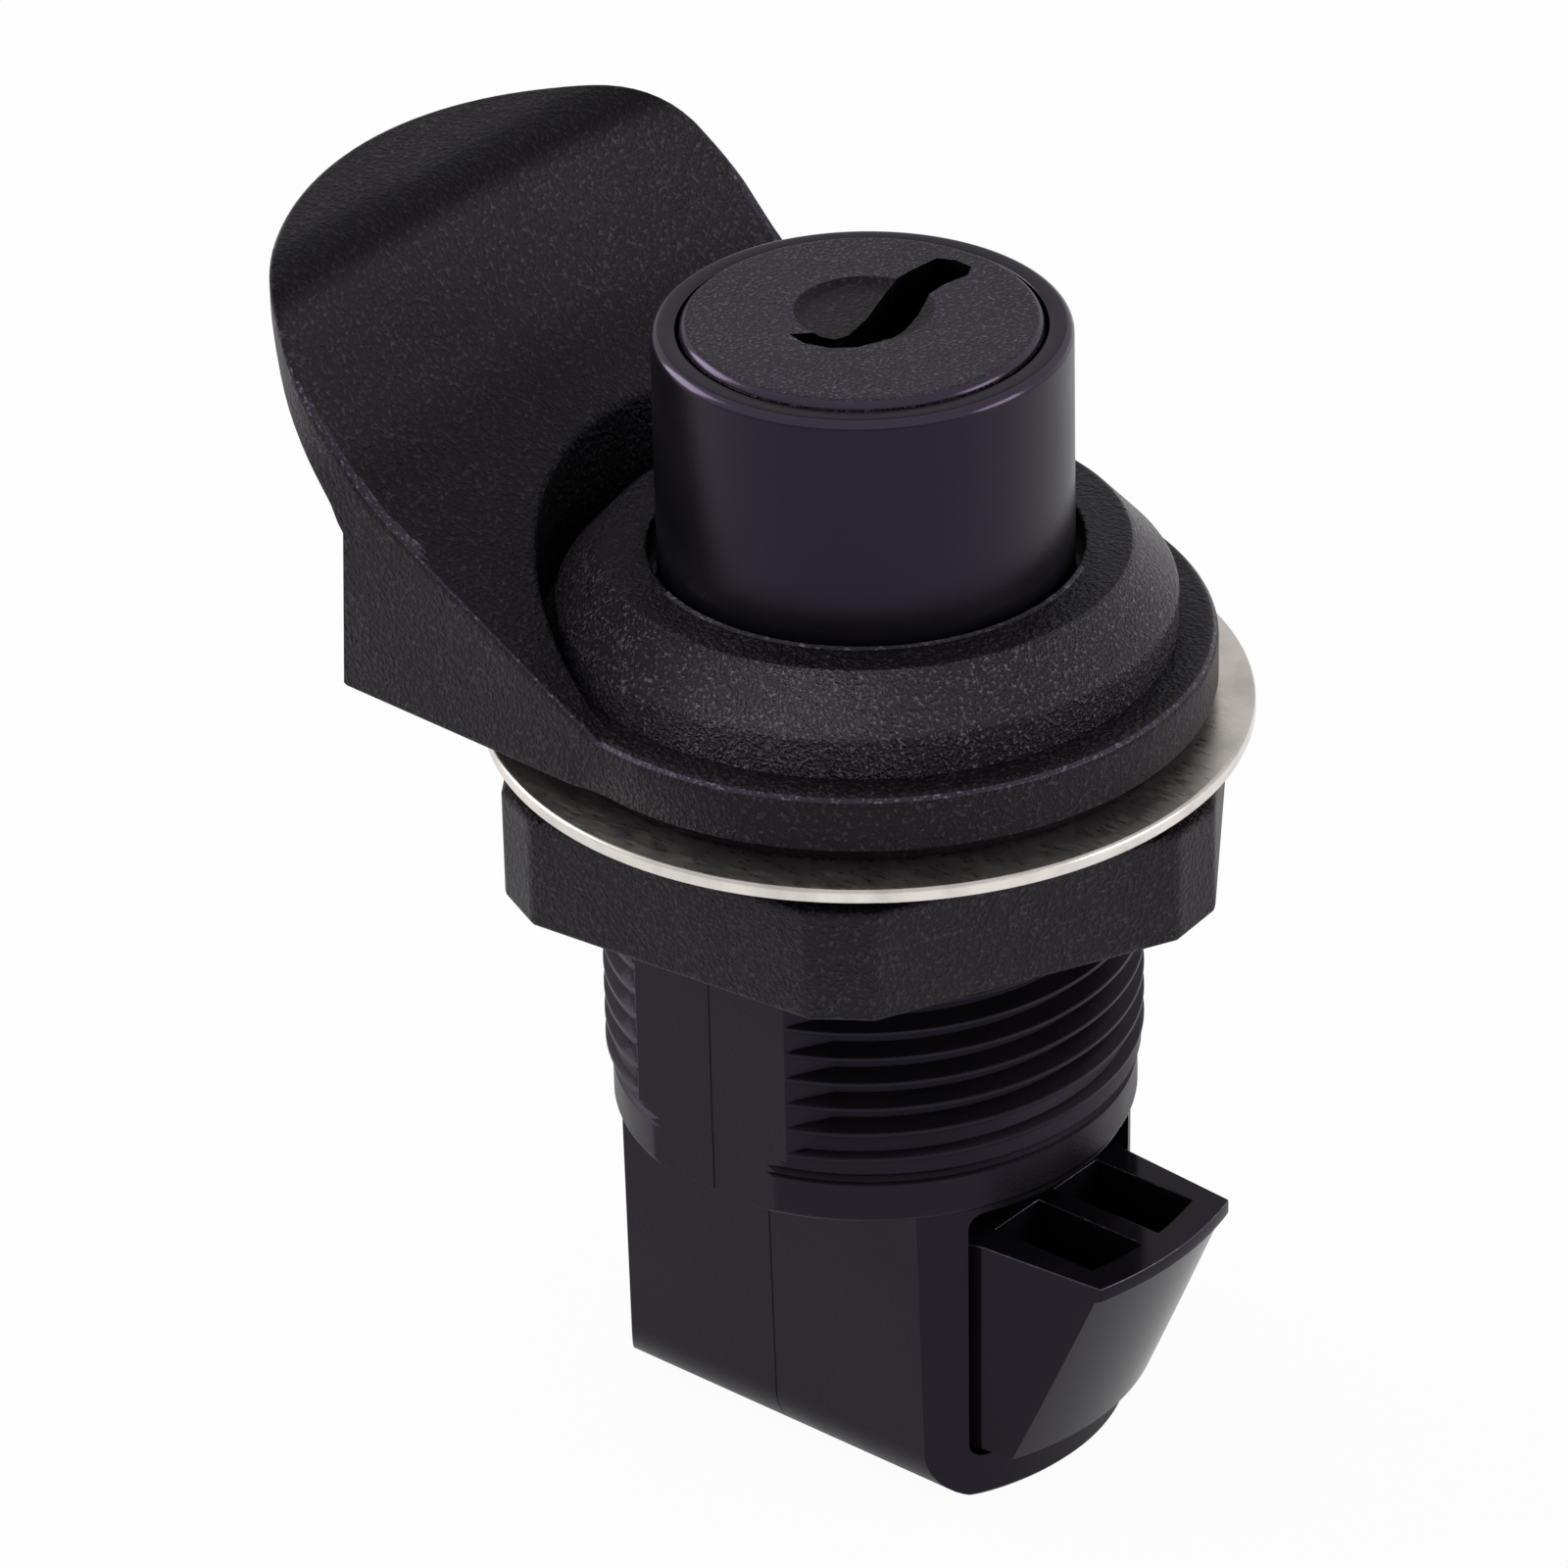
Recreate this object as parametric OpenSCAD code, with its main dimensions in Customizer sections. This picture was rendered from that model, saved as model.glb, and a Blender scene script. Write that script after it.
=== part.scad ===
// Pushbutton panel latch with a moulded finger pull and a keyed button.
// Millimetres. +Z points out of the panel along the barrel, the bolt leaves along +X,
// the finger pull reaches out along -X, and Z = 0 is the underside of the bezel.

/* [Barrel] */
// Outside diameter of the barrel thread
thread_d = 28; // [27:0.5:30]
// Width over the two flats of the threaded barrel
flat_width = 26.2; // [25.8:0.1:27]
// Depth of the thread below the bezel
thread_depth = 20.9; // [18:0.1:22]
// Depth of the round barrel below the bezel
barrel_depth = 24.4; // [23:0.1:26]
// Diameter of the plain part under the thread
plain_d = 26.8; // [26:0.1:27.4]
// Diameter of the bore that guides the button
bore_d = 22.4; // [22.2:0.1:22.8]
// Thickness of the floor between the button and the bolt
floor_t = 3.4; // [2.5:0.1:4]

/* [Collar] */
// Diameter of the collar at its foot
collar_d = 31.6; // [31:0.1:33]
// Diameter of the flat top of the collar
collar_top_d = 27.6; // [26.5:0.1:29]
// Height of the collar over the bezel
collar_h = 5.05; // [4.8:0.05:6]
// Height of the upright side of the collar
collar_side = 2.2; // [1.5:0.1:3]
// Rounding of the collar edges
collar_edge = 0.5; // [0.2:0.1:0.8]

/* [Bezel and finger pull] */
// Diameter of the bezel flange
bezel_d = 35.6; // [34.6:0.1:38]
// Thickness of the bezel flange
bezel_t = 3.05; // [2.5:0.05:4]
// Rounding of the top edge of the bezel
bezel_edge = 0.6; // [0.3:0.1:0.8]
// Gap round the collar in the finger pull
collar_gap = 0.85; // [0.5:0.05:1.2]
// Distance from the barrel axis to the back wall of the pull
pull_back = 19.7; // [19:0.1:22]
// Width of the pull at its back wall
pull_width = 33.8; // [32:0.1:34.6]
// Distance from the barrel axis to the rim of the lip
lip_reach = 32.6; // [31:0.1:36]
// Height of the rim over the panel
lip_height = 21; // [20:0.1:24]
// Thickness of the lip
lip_t = 1.9; // [1.6:0.1:2.4]
// Slope of the thumb ramp in degrees
ramp_angle = 27.7; // [26:0.1:29]
// Distance from the barrel axis to the foot of the ramp
ramp_foot = 1; // [0:0.1:2]
// Wall thickness of the cored underside
pull_wall = 1.8; // [1.4:0.1:2.2]
// Height of the cored pockets
pocket_h = 4.5; // [3:0.1:5]
// Number of ribs across the cored underside
pocket_ribs = 3; // [1:1:5]

/* [Panel fixings] */
// Thickness of the panel gasket
gasket_t = 1; // [0.6:0.1:1.5]
// Diameter of the panel gasket
gasket_d = 33.6; // [32:0.1:35]
// Thickness of the steel washer
washer_t = 0.75; // [0.5:0.05:1.2]
// Diameter of the steel washer
washer_d = 39.4; // [37:0.1:42]
// Width of the nut across its flats
nut_af = 36; // [34:0.1:38]
// Distance over two cut corners of the nut, less the washer diameter
nut_margin = 0.2; // [-0.4:0.1:0.6]
// Height of the nut
nut_h = 6.2; // [5:0.1:7]
// Turn of the nut on its thread in degrees
nut_turn = -24.9; // [-60:0.1:60]

/* [Button] */
// Diameter of the button
button_d = 21; // [20.5:0.1:21.2]
// Height of the button over the collar
button_h = 12; // [9:0.1:14]
// Rounding of the top edge of the button
button_edge = 0.8; // [0.3:0.1:1]
// Travel of the button and of the bolt
travel = 6; // [5:0.1:6]
// Diameter of the guide flange under the button
guide_d = 22; // [21.8:0.05:22.1]
// Height of the guide flange
guide_h = 4.3; // [4:0.1:5]

/* [Lock] */
// Diameter of the face of the lock plug
face_d = 18.2; // [17:0.1:18.4]
// Thickness of the face of the lock plug
face_t = 3.2; // [2.8:0.1:3.6]
// Height of the lock face over the button
face_proud = 0.35; // [0:0.05:0.6]
// Diameter of the plug core
core_d = 12.4; // [12.2:0.1:13]
// Number of wafers
wafers = 5; // [3:1:6]
// Distance between two wafers
wafer_pitch = 2.4; // [2.2:0.1:2.6]
// Thickness of a wafer
wafer_t = 0.8; // [0.6:0.1:0.9]
// Thickness of the locking cam
cam_t = 2; // [1.5:0.1:2.2]
// Reach of the locking cam from the axis
cam_reach = 10.4; // [9.5:0.1:10.6]

/* [Plunger] */
// Diameter of the plunger disc
disc_d = 21.8; // [21:0.1:22]
// Thickness of the plunger disc
disc_t = 3; // [2.5:0.1:4]
// Width of the drive nose
nose_w = 5; // [4:0.1:5.5]
// Length of the drive nose along the bolt
nose_l = 7; // [6.5:0.1:7.5]
// Distance from the barrel axis to the front of the nose
nose_front = 3; // [2.5:0.1:3]

/* [Bolt and its housing] */
// Width of the bolt housing at its top
housing_w = 17.8; // [17.4:0.1:19]
// Width of the bolt housing at its foot
housing_foot_w = 17.2; // [16.8:0.1:17.4]
// Diameter over the round ends of the housing
housing_d = 26.6; // [26:0.1:26.8]
// Height of the bolt housing under the barrel
housing_h = 18; // [17.5:0.1:20]
// Rounding of the long edges at the foot
foot_round = 3.3; // [2:0.1:4]
// Width of the bolt channel
channel_w = 13.3; // [13:0.1:14]
// Height of the bolt channel
channel_h = 15; // [14.8:0.1:15.2]
// Reach of the bolt tip from the barrel axis
bolt_reach = 19.4; // [18.8:0.1:19.4]
// Width of the bolt at its tip
tip_w = 10.6; // [9.5:0.1:11]
// Drop from the channel roof to the top of the bolt
bolt_drop = 2.1; // [1.5:0.1:2.5]
// Height of the upright lip at the bolt tip
tip_lip = 0.6; // [0.3:0.1:1]
// Rib between the two pockets of the bolt
bolt_rib = 1.3; // [1:0.1:1.8]
// Depth of the pockets in the bolt
bolt_pocket = 5.5; // [3:0.1:6]

/* [Springs] */
// Wire of the button spring
button_wire = 1; // [0.8:0.1:1.1]
// Turns of the button spring
button_turns = 5; // [4:0.5:5]
// Wire of the bolt spring
bolt_wire = 0.6; // [0.4:0.1:0.7]
// Turns of the bolt spring
bolt_turns = 9; // [7:0.5:10]

/* [Fits] */
// Side clearance of a sliding piece
slide_gap = 0.3; // [0.2:0.05:0.35]
// Clearance between flat faces that meet or rub
face_gap = 0.1; // [0.05:0.05:0.15]
// Radial clearance of pieces fitted to each other
fit_gap = 0.05; // [0.03:0.01:0.08]

/* [Hidden] */
$fn = 72;
far = 60;

collar_top = bezel_t + collar_h;
button_top = collar_top + button_h;
bore_r = bore_d / 2;
floor_top = floor_t - barrel_depth - 0.4;
roof_z = floor_top - floor_t;
channel_floor = roof_z - channel_h;
foot_z = -barrel_depth - housing_h;
nut_top = -gasket_t - washer_t - 2 * face_gap - 0.4;
nut_foot = nut_top - nut_h;
nut_over_corners = washer_d + nut_margin;
crest_r = thread_d / 2;
pitch_r = crest_r - 0.5;

// Retaining ring in its groove inside the collar
ring_t = 1;
ring_wall = 1.5;
ring_z = bezel_t + 1.5;
ring_inner = button_d / 2 + 0.25;
guide_top = ring_z - face_gap;
guide_foot = guide_top - guide_h - 0.5;

// Lock stack, from the face down to the cam screw
face_top = button_top + face_proud;
face_foot = face_top - face_t;
shell_r = face_d / 2 + 0.15;
shell_top = face_foot - face_gap;
shell_foot = guide_foot + 0.9;
core_foot = shell_foot - 1.1;
clip_t = 0.6;
clip_r = core_d / 2 + 0.75;
cam_top = core_foot - face_gap;
tail_foot = cam_top - cam_t - face_gap / 2;
tail_side = core_d - 7.4;
tail_bore_r = tail_side / 4;
screw_head_t = 0.75 * cam_t;
screw_head_r = 0.72 * tail_side;
cam_hub_r = tail_side - 0.2;
first_wafer = shell_top - 2.6;
slot_w = core_d - 7.6;
wafer_l = core_d - 1.2;
wafer_spring_wire = 0.25 * wafer_t;
dimple = [-0.5, 0.8, 0.25];
dimple_r = 3.55;

// Plunger, from its legs down to the drive nose
disc_top = tail_foot - screw_head_t - 1;
disc_foot = disc_top - disc_t;
nose_foot = roof_z - 6.7;
nose_back = nose_front - nose_l;
drive_line = nose_front + nose_foot;
plunger_screw_r = (clip_r + shell_r) / 2;
plunger_screw_d = 0.4 * disc_t;
plunger_head_r = 0.35 * disc_t;
leg_angle = 110;
half_leg = 20;

// Bolt, shaped about the same axis as the barrel
bolt_top = roof_z - bolt_drop;
bolt_foot = channel_floor + 0.35;
bolt_w = channel_w - 2 * slide_gap;
bolt_back = nose_back + 0.5;
bolt_neck = 10.8;
window_front = nose_front + travel + 0.5;
spring_z = channel_floor + 5.4;
spring_bore_r = 2.2;
spring_seat = -housing_d / 2 + 1.6;

// Seal in its groove near the foot of the button
seal_r = 0.85;
seal_z = guide_foot + 2.2;

// Quarter of the lip outline, a Bezier curve from the side to the middle of the rim
function mix(a, b, t) = a + (b - a) * t;
function bezier(a, b, c, d, t) =
    let (ab = mix(a, b, t), bc = mix(b, c, t), cd = mix(c, d, t))
    mix(mix(ab, bc, t), mix(bc, cd, t), t);
function curve(a, b, c, d, n) = [for (i = [1:n]) bezier(a, b, c, d, i / n)];

// Corner b between a and c, rounded off over the length e
function eased(a, b, c, e) = let (p = b + e * (a - b) / norm(a - b), q = b + e * (c - b) / norm(c - b))
    concat([p], curve(p, mix(p, b, 0.6), mix(q, b, 0.6), q, 4));

lip_half = pull_width / 2;
lip_side = [-pull_back - 1.8, lip_half];
lip_quarter = curve(lip_side, [-pull_back - 6.8, lip_half], [-lip_reach, 9], [-lip_reach, 0], 10);

// Side view of the pull: a straight ramp, a steep wall and a lip that curls over
ramp_slope = tan(ramp_angle);
function ramp_z(x) = bezel_t - (x + ramp_foot + 2) * ramp_slope;
ramp_end = [-pull_back + 0.7, ramp_z(-pull_back + 0.7)];
wall_mid = [-pull_back - 4.9, lip_height - 2.8];
rim_top = [-lip_reach - 1, lip_height];
upper_side = concat(
    [[0, ramp_z(0)]], [ramp_end],
    curve(ramp_end, ramp_end + [-2, 2 * ramp_slope], wall_mid + [1.5, -2.3], wall_mid, 6),
    curve(wall_mid, wall_mid + [-1.4, 2.1], rim_top + [5, -0.7], rim_top, 7));
under_wall = [-pull_back, ramp_end[1] - lip_t - 1.4];
under_mid = wall_mid + [-1.1 * lip_t + 1.1, -1.25 * lip_t];
rim_under = rim_top + [0, -0.7 * lip_t];
under_side = concat(
    [under_wall],
    curve(under_wall, under_wall + [0, 1.4], under_mid + [1.5, -2.3], under_mid, 6),
    curve(under_mid, under_mid + [-1.4, 2.1], rim_under + [5, -0.7], rim_under, 7));

// Points of a profile in reverse order
function backwards(list) = [for (i = [len(list) - 1:-1:0]) list[i]];

// Disc of radius r with two flats half_w from its centre
module double_d(r, half_w) {
    intersection() {
        circle(r);
        square([2 * r + 1, 2 * half_w], center = true);
    }
}

// Rectangle w by h with round corners, centred
module round_rect(w, h, r) {
    square([w - 2 * r, h], center = true);
    square([w, h - 2 * r], center = true);
    for (x = [-1, 1], y = [-1, 1])
        translate([x * (w / 2 - r), y * (h / 2 - r)]) circle(r, $fn = 24);
}

// Ring from z0 to z1
module ring(r_out, r_in, z0, z1) {
    difference() {
        translate([0, 0, z0]) cylinder(h = z1 - z0, r = r_out);
        translate([0, 0, z0 - 1]) cylinder(h = z1 - z0 + 2, r = r_in);
    }
}

// Profile given in X and Z, drawn out along Y to width w
module along_y(w) {
    rotate([90, 0, 0]) translate([0, 0, -w / 2]) linear_extrude(height = w) children();
}

// Box between two opposite corners
module box(low, high) {
    translate(low) cube(high - low);
}

// Helical spring along +Z from z = 0 to the given length
module coil(mean_r, wire_r, length, turns, sides = 6, steps = 16) {
    n = round(turns * steps);
    rise = length - 2 * wire_r;
    rings = [for (i = [0:n]) let (a = 360 * turns * i / n, z = wire_r + rise * i / n)
        for (j = [0:sides - 1]) let (b = 360 * j / sides, r = mean_r + wire_r * cos(b))
            [r * cos(a), r * sin(a), z + wire_r * sin(b)]];
    skin = [for (i = [0:n - 1], j = [0:sides - 1]) let (k = (j + 1) % sides)
        [i * sides + j, i * sides + k, (i + 1) * sides + k, (i + 1) * sides + j]];
    start = [for (j = [sides - 1:-1:0]) j];
    end = [for (j = [0:sides - 1]) n * sides + j];
    polyhedron(points = rings, faces = concat([start], skin, [end]));
}

// Outline of the pull seen from above
module pull_outline() {
    start = [0, bezel_d / 2 - 0.05];
    polygon(concat(
        [start, lip_side], lip_quarter,
        [for (p = backwards(lip_quarter)) [p[0], -p[1]]],
        [[lip_side[0], -lip_side[1]], -start]));
}

// Moulded bezel with the ramp, the back wall and the overhanging lip
module pull_bezel() {
    color("#1b1a1d") difference() {
        union() {
            bezel_flange();
            intersection() {
                linear_extrude(height = lip_height + 1) pull_outline();
                along_y(far) polygon(concat(
                    [[-pull_back, -1], [0, -1]], upper_side, backwards(under_side)));
            }
        }
        translate([0, 0, bezel_t]) cylinder(h = far, r = collar_d / 2 + collar_gap);
        translate([0, 0, -1]) linear_extrude(height = bezel_t + 2)
            double_d(thread_d / 2 + fit_gap, flat_width / 2 + fit_gap);
        cored_pockets();
    }
}

// Round flange of the bezel with its top edge rounded
module bezel_flange() {
    r = bezel_d / 2;
    e = bezel_edge;
    rotate_extrude($fn = 120) {
        square([r, bezel_t - e]);
        square([r - e, bezel_t]);
        translate([r - e, bezel_t - e]) circle(e, $fn = 32);
    }
}

// Pockets that keep the wall of the pull even, open to the panel side
module cored_pockets() {
    inner = gasket_d / 2 + 0.9;
    outer_x = -pull_back + pull_wall;
    difference() {
        translate([0, 0, -1]) linear_extrude(height = pocket_h + 1) difference() {
            polygon([[outer_x, lip_half - pull_wall - 0.3], [-8, lip_half - pull_wall],
                [-8, -lip_half + pull_wall], [outer_x, -lip_half + pull_wall + 0.3]]);
            circle(inner);
        }
        for (i = [1:pocket_ribs])
            translate([0, (i / (pocket_ribs + 1) - 0.5) * pull_width, 0])
                box([-far, -0.6, -2], [0, 0.6, far]);
    }
}

// Collar, threaded barrel and bolt housing in one moulding
module barrel_body() {
    color("#161518") difference() {
        union() {
            collar();
            flatted_barrel(crest_r, nut_top, bezel_t + 0.5);
            flatted_barrel(pitch_r, nut_foot - 0.5, nut_top + 0.5);
            flatted_barrel(crest_r, -thread_depth, nut_foot);
            flatted_barrel(plain_d / 2, -barrel_depth, -thread_depth + 0.5);
            bolt_housing();
        }
        translate([0, 0, floor_top]) cylinder(h = far, r = bore_r);
        translate([0, 0, ring_z]) cylinder(h = ring_t, r = ring_inner + ring_wall + fit_gap);
        bolt_channel();
        box([nose_back - slide_gap, -nose_w / 2 - slide_gap, roof_z - 1],
            [nose_front + slide_gap, nose_w / 2 + slide_gap, floor_top + 1]);
        translate([spring_seat - 0.6, 0, spring_z]) rotate([0, 90, 0]) cylinder(h = 2, r = spring_bore_r);
    }
}

// Stretch of the barrel with its two flats, from z0 up to z1
module flatted_barrel(r, z0, z1) {
    translate([0, 0, z0]) linear_extrude(height = z1 - z0) double_d(r, flat_width / 2);
}

// Round collar with a bevelled shoulder and eased edges
module collar() {
    foot = [collar_d / 2, 0];
    side = [collar_d / 2, collar_side];
    shoulder = [collar_top_d / 2, collar_h];
    inside = [bore_r - 1, collar_h];
    translate([0, 0, bezel_t]) rotate_extrude($fn = 96) polygon(concat([[bore_r - 1, 0], foot],
        eased(foot, side, shoulder, collar_edge), eased(side, shoulder, inside, collar_edge), [inside]));
}

// Flat-sided housing with round ends and a rounded foot
module bolt_housing() {
    top = -barrel_depth + 0.5;
    intersection() {
        translate([0, 0, foot_z])
            cylinder(h = top - foot_z, d1 = housing_d - 0.3, d2 = housing_d);
        rotate([90, 0, 90]) translate([0, 0, -far / 2]) linear_extrude(height = far) difference() {
            polygon([[-housing_foot_w / 2, foot_z], [housing_foot_w / 2, foot_z],
                [housing_w / 2, top], [-housing_w / 2, top]]);
            for (s = [-1, 1]) difference() {
                translate([s * (housing_foot_w / 2), foot_z])
                    square(2 * foot_round - 0.12, center = true);
                translate([s * (housing_foot_w / 2 - foot_round), foot_z + foot_round])
                    circle(foot_round);
            }
        }
    }
}

// Way of the bolt through the housing, closed and round at the back
module bolt_channel() {
    intersection() {
        translate([0, 0, (roof_z + channel_floor) / 2]) rotate([90, 0, 90])
            translate([0, 0, -far / 2]) linear_extrude(height = far)
                round_rect(channel_w, channel_h, 0.8);
        union() {
            translate([0, 0, channel_floor - 1]) cylinder(h = channel_h + 2, r = -spring_seat);
            box([0, -far, channel_floor - 1], [far, far, roof_z + 1]);
        }
    }
}

// Split ring that keeps the button in the barrel
module retaining_ring() {
    color("#8f9194") difference() {
        ring(ring_inner + ring_wall, ring_inner, ring_z + face_gap / 2, ring_z + ring_t - face_gap / 2);
        box([-far, -1.6, ring_z - 1], [0, 1.6, ring_z + ring_t + 1]);
    }
}

// Soft gasket between the bezel and the panel
module panel_gasket() {
    color("#0f0f10") difference() {
        translate([0, 0, -gasket_t]) cylinder(h = gasket_t, d = gasket_d);
        translate([0, 0, -gasket_t - 1]) linear_extrude(height = gasket_t + 2)
            double_d(thread_d / 2 + 2 * fit_gap, flat_width / 2 + 2 * fit_gap);
    }
}

// Flat stainless washer
module steel_washer() {
    top = -gasket_t - face_gap / 2;
    color("#c9c7c6") ring(washer_d / 2, thread_d / 2 + 0.3, top - washer_t, top);
}

// Hexagon nut with its corners cut flat
module hex_nut() {
    color("#1a191c") difference() {
        translate([0, 0, nut_foot]) linear_extrude(height = nut_h) intersection() {
            rotate(nut_turn + 30) circle(nut_af / 2 / cos(30), $fn = 6);
            rotate(nut_turn) circle(nut_over_corners / 2 / cos(30), $fn = 6);
        }
        translate([0, 0, -far]) cylinder(h = far, r = pitch_r + fit_gap);
    }
}

// Button: a smooth sleeve with a wider guide flange at its foot
module button_sleeve() {
    e = button_edge;
    r = button_d / 2;
    color("#201f24") difference() {
        rotate_extrude() {
            difference() {
                translate([0, guide_foot]) square([r, button_top - guide_foot]);
                translate([r - e, button_top - e]) square(e + 1);
            }
            translate([r - e, button_top - e]) circle(e, $fn = 32);
            translate([0, guide_foot]) square([guide_d / 2, guide_top - guide_foot]);
        }
        translate([0, 0, guide_foot - 1]) cylinder(h = far, r = shell_r + fit_gap);
        seal_groove();
        translate([0, 0, (shell_top + shell_foot) / 2]) rotate([0, -90, 0])
            cylinder(h = far, r = 1 + fit_gap, $fn = 24);
    }
}

// Square groove for the seal
module seal_groove() {
    ring(far / 2, bore_r - 2 * seal_r - 0.12, seal_z - seal_r - fit_gap, seal_z + seal_r + fit_gap);
}

// Round rubber ring that seals the button in its bore
module button_seal() {
    color("#111111") rotate_extrude()
        translate([bore_r - seal_r - 0.06, seal_z]) circle(seal_r, $fn = 24);
}

// Metal shell that holds the plug inside the button
module cylinder_shell() {
    color("#9a9b9d") difference() {
        ring(shell_r, core_d / 2 + 0.1, shell_foot, shell_top);
        translate([0, 0, (shell_top + shell_foot) / 2]) rotate([0, -90, 0])
            cylinder(h = far, r = 1 + fit_gap, $fn = 24);
        plunger_screw_places(shell_foot + 3.2)
            cylinder(h = far, d = plunger_screw_d + 2 * fit_gap, $fn = 24);
    }
}

// Cross pin that ties the shell to the button
module shell_pin() {
    z = (shell_top + shell_foot) / 2;
    color("#b5b6b8") translate([-guide_d / 2 + 0.9, 0, z]) rotate([0, 90, 0])
        cylinder(h = guide_d / 2 - core_d / 2 - 1.3, r = 1, $fn = 24);
}

// Outline of the keyway in the face, a slanted S
module keyway() {
    polygon([[-1.7, -3.6], [-0.9, -2.8], [0.1, -2.4], [0.4, -1.6], [0, 0.4], [-0.8, 2.5],
        [-1.25, 3.8], [-1.3, 5.4], [-1.1, 7.3], [-0.2, 7.7], [0.9, 7.6], [1.3, 6.8], [1, 5.2],
        [1.1, 3.8], [1.8, 2.2], [2.3, 0.6], [2.4, -1.4], [1.9, -2.6], [0.9, -3.5], [-0.5, -3.9]]);
}

// Lock plug: textured face, core with wafer slots and a square tail
module lock_plug() {
    color("#1e1d20") difference() {
        union() {
            rotate_extrude() {
                translate([0, face_foot]) square([face_d / 2 - 0.5, face_t]);
                translate([0, face_foot]) square([face_d / 2, face_t - 0.5]);
                translate([face_d / 2 - 0.5, face_top - 0.5]) circle(0.5, $fn = 24);
            }
            translate([0, 0, core_foot]) cylinder(h = face_foot - core_foot + 0.5, d = core_d);
            translate([0, 0, tail_foot + tail_side / 2]) cube(tail_side, center = true);
        }
        translate([dimple[0], dimple[1], face_top - dimple[2]]) cylinder(h = 1, r = dimple_r);
        translate([0, 0, face_foot + 0.6]) linear_extrude(height = face_t) keyway();
        box([-0.9, -3, first_wafer - wafers * wafer_pitch], [0.9, 3.4, face_top]);
        ring(core_d, core_d / 2 - 0.8, shell_foot - clip_t - 2 * face_gap, shell_foot - face_gap / 2);
        translate([0, 0, tail_foot - 1]) cylinder(h = tail_side + 1, r = tail_bore_r, $fn = 24);
        for (i = [0:wafers - 1]) translate([0, 0, first_wafer - i * wafer_pitch]) {
            cube([slot_w, core_d + 1, wafer_t + 0.1], center = true);
            box([slot_w / 2 - 0.1, -3.3, -0.75], [slot_w / 2 + 1.7, 4.2, 0.75]);
        }
    }
}

// Wafers, each cut for a different depth of the key
module wafer_set() {
    color("#b08d3c") for (i = [0:wafers - 1]) translate([0, 0, first_wafer - i * wafer_pitch])
        difference() {
            union() {
                cube([slot_w - 0.2, wafer_l, wafer_t], center = true);
                box([slot_w / 2 - 0.2, 2.5, -wafer_t / 2], [slot_w / 2 + 1.5, 4, wafer_t / 2]);
            }
            translate([0, 0.3 * (i % 3), 0]) cube([2.2, 6.4, 2], center = true);
        }
}

// One small spring beside each wafer, its turns close together
module wafer_springs() {
    wire = wafer_spring_wire;
    turns = 15;
    color("#a9abad") for (i = [0:wafers - 1])
        translate([slot_w / 2 + 0.85, -3.2, first_wafer - i * wafer_pitch]) rotate([-90, 0, 0])
            rotate_extrude($fn = 24) for (k = [0:turns - 1])
                translate([2.15 * wire, wire + 1.85 * wire * k]) circle(wire, $fn = 16);
}

// Clip that holds the plug in the shell
module plug_clip() {
    top = shell_foot - face_gap;
    color("#9d9fa2") difference() {
        ring(clip_r, core_d / 2 - 0.75, top - clip_t, top);
        box([0, -2.4, top - 2], [far, 2.4, top + 1]);
    }
}

// Cam with one lobe, turned by the square tail
module locking_cam() {
    color("#a2a3a5") difference() {
        translate([0, 0, cam_top - cam_t]) linear_extrude(height = cam_t) union() {
            circle(cam_hub_r);
            rotate(-45) intersection() {
                translate([0, -cam_t]) square([cam_reach, 2 * cam_t]);
                circle(cam_reach);
            }
        }
        translate([0, 0, cam_top]) cube([tail_side + 0.1, tail_side + 0.1, far], center = true);
    }
}

// Screw with a flat head that holds the cam on the tail
module cam_screw() {
    color("#8b8d90") {
        translate([0, 0, tail_foot - screw_head_t - fit_gap]) cylinder(h = screw_head_t, r = screw_head_r);
        translate([0, 0, tail_foot - screw_head_t / 2])
            cylinder(h = tail_side - 1, r = tail_bore_r - fit_gap, $fn = 24);
    }
}

// Places of the two screws that join the plunger to the shell
module plunger_screw_places(z) {
    for (s = [-1, 1]) rotate(s * leg_angle) translate([plunger_screw_r, 0, z - far]) children();
}

// Plunger: disc, two legs and the wedge nose that drives the bolt
module plunger() {
    color("#2a2a2e") difference() {
        union() {
            translate([0, 0, disc_foot]) cylinder(h = disc_t, r = disc_d / 2);
            for (s = [-1, 1]) rotate(s * leg_angle) intersection() {
                ring(shell_r - 0.1, clip_r + 0.15, disc_top - 0.5, shell_foot);
                translate([0, 0, -far / 2]) linear_extrude(height = far)
                    polygon([[0, 0], [far, -far * tan(half_leg)], [far, far * tan(half_leg)]]);
            }
            along_y(nose_w) polygon([[nose_back, disc_foot + 0.5], [nose_front, disc_foot + 0.5],
                [nose_front, nose_foot], [nose_back, nose_foot + nose_l]]);
            for (s = [-1, 1]) along_y(2) polygon([[s * 1, disc_foot + 0.5], [s * 1, disc_foot - 4],
                [s > 0 ? nose_front + 2.5 : nose_back - 2, disc_foot + 0.5]]);
        }
        plunger_screw_places(disc_foot + far - 1)
            cylinder(h = far, d = plunger_screw_d + 2 * fit_gap, $fn = 24);
        plunger_screw_places(disc_foot + disc_t / 2)
            cylinder(h = far, r = plunger_head_r + 2 * fit_gap, $fn = 24);
    }
}

// Two small screws from under the plunger into the shell
module plunger_screws() {
    color("#8b8d90") plunger_screw_places(far) {
        translate([0, 0, disc_foot + 2 * face_gap])
            cylinder(h = disc_t / 2 - 3 * face_gap, r = plunger_head_r, $fn = 24);
        translate([0, 0, disc_foot + disc_t / 3])
            cylinder(h = shell_foot + 1.8 - disc_foot, d = plunger_screw_d, $fn = 24);
    }
}

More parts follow.
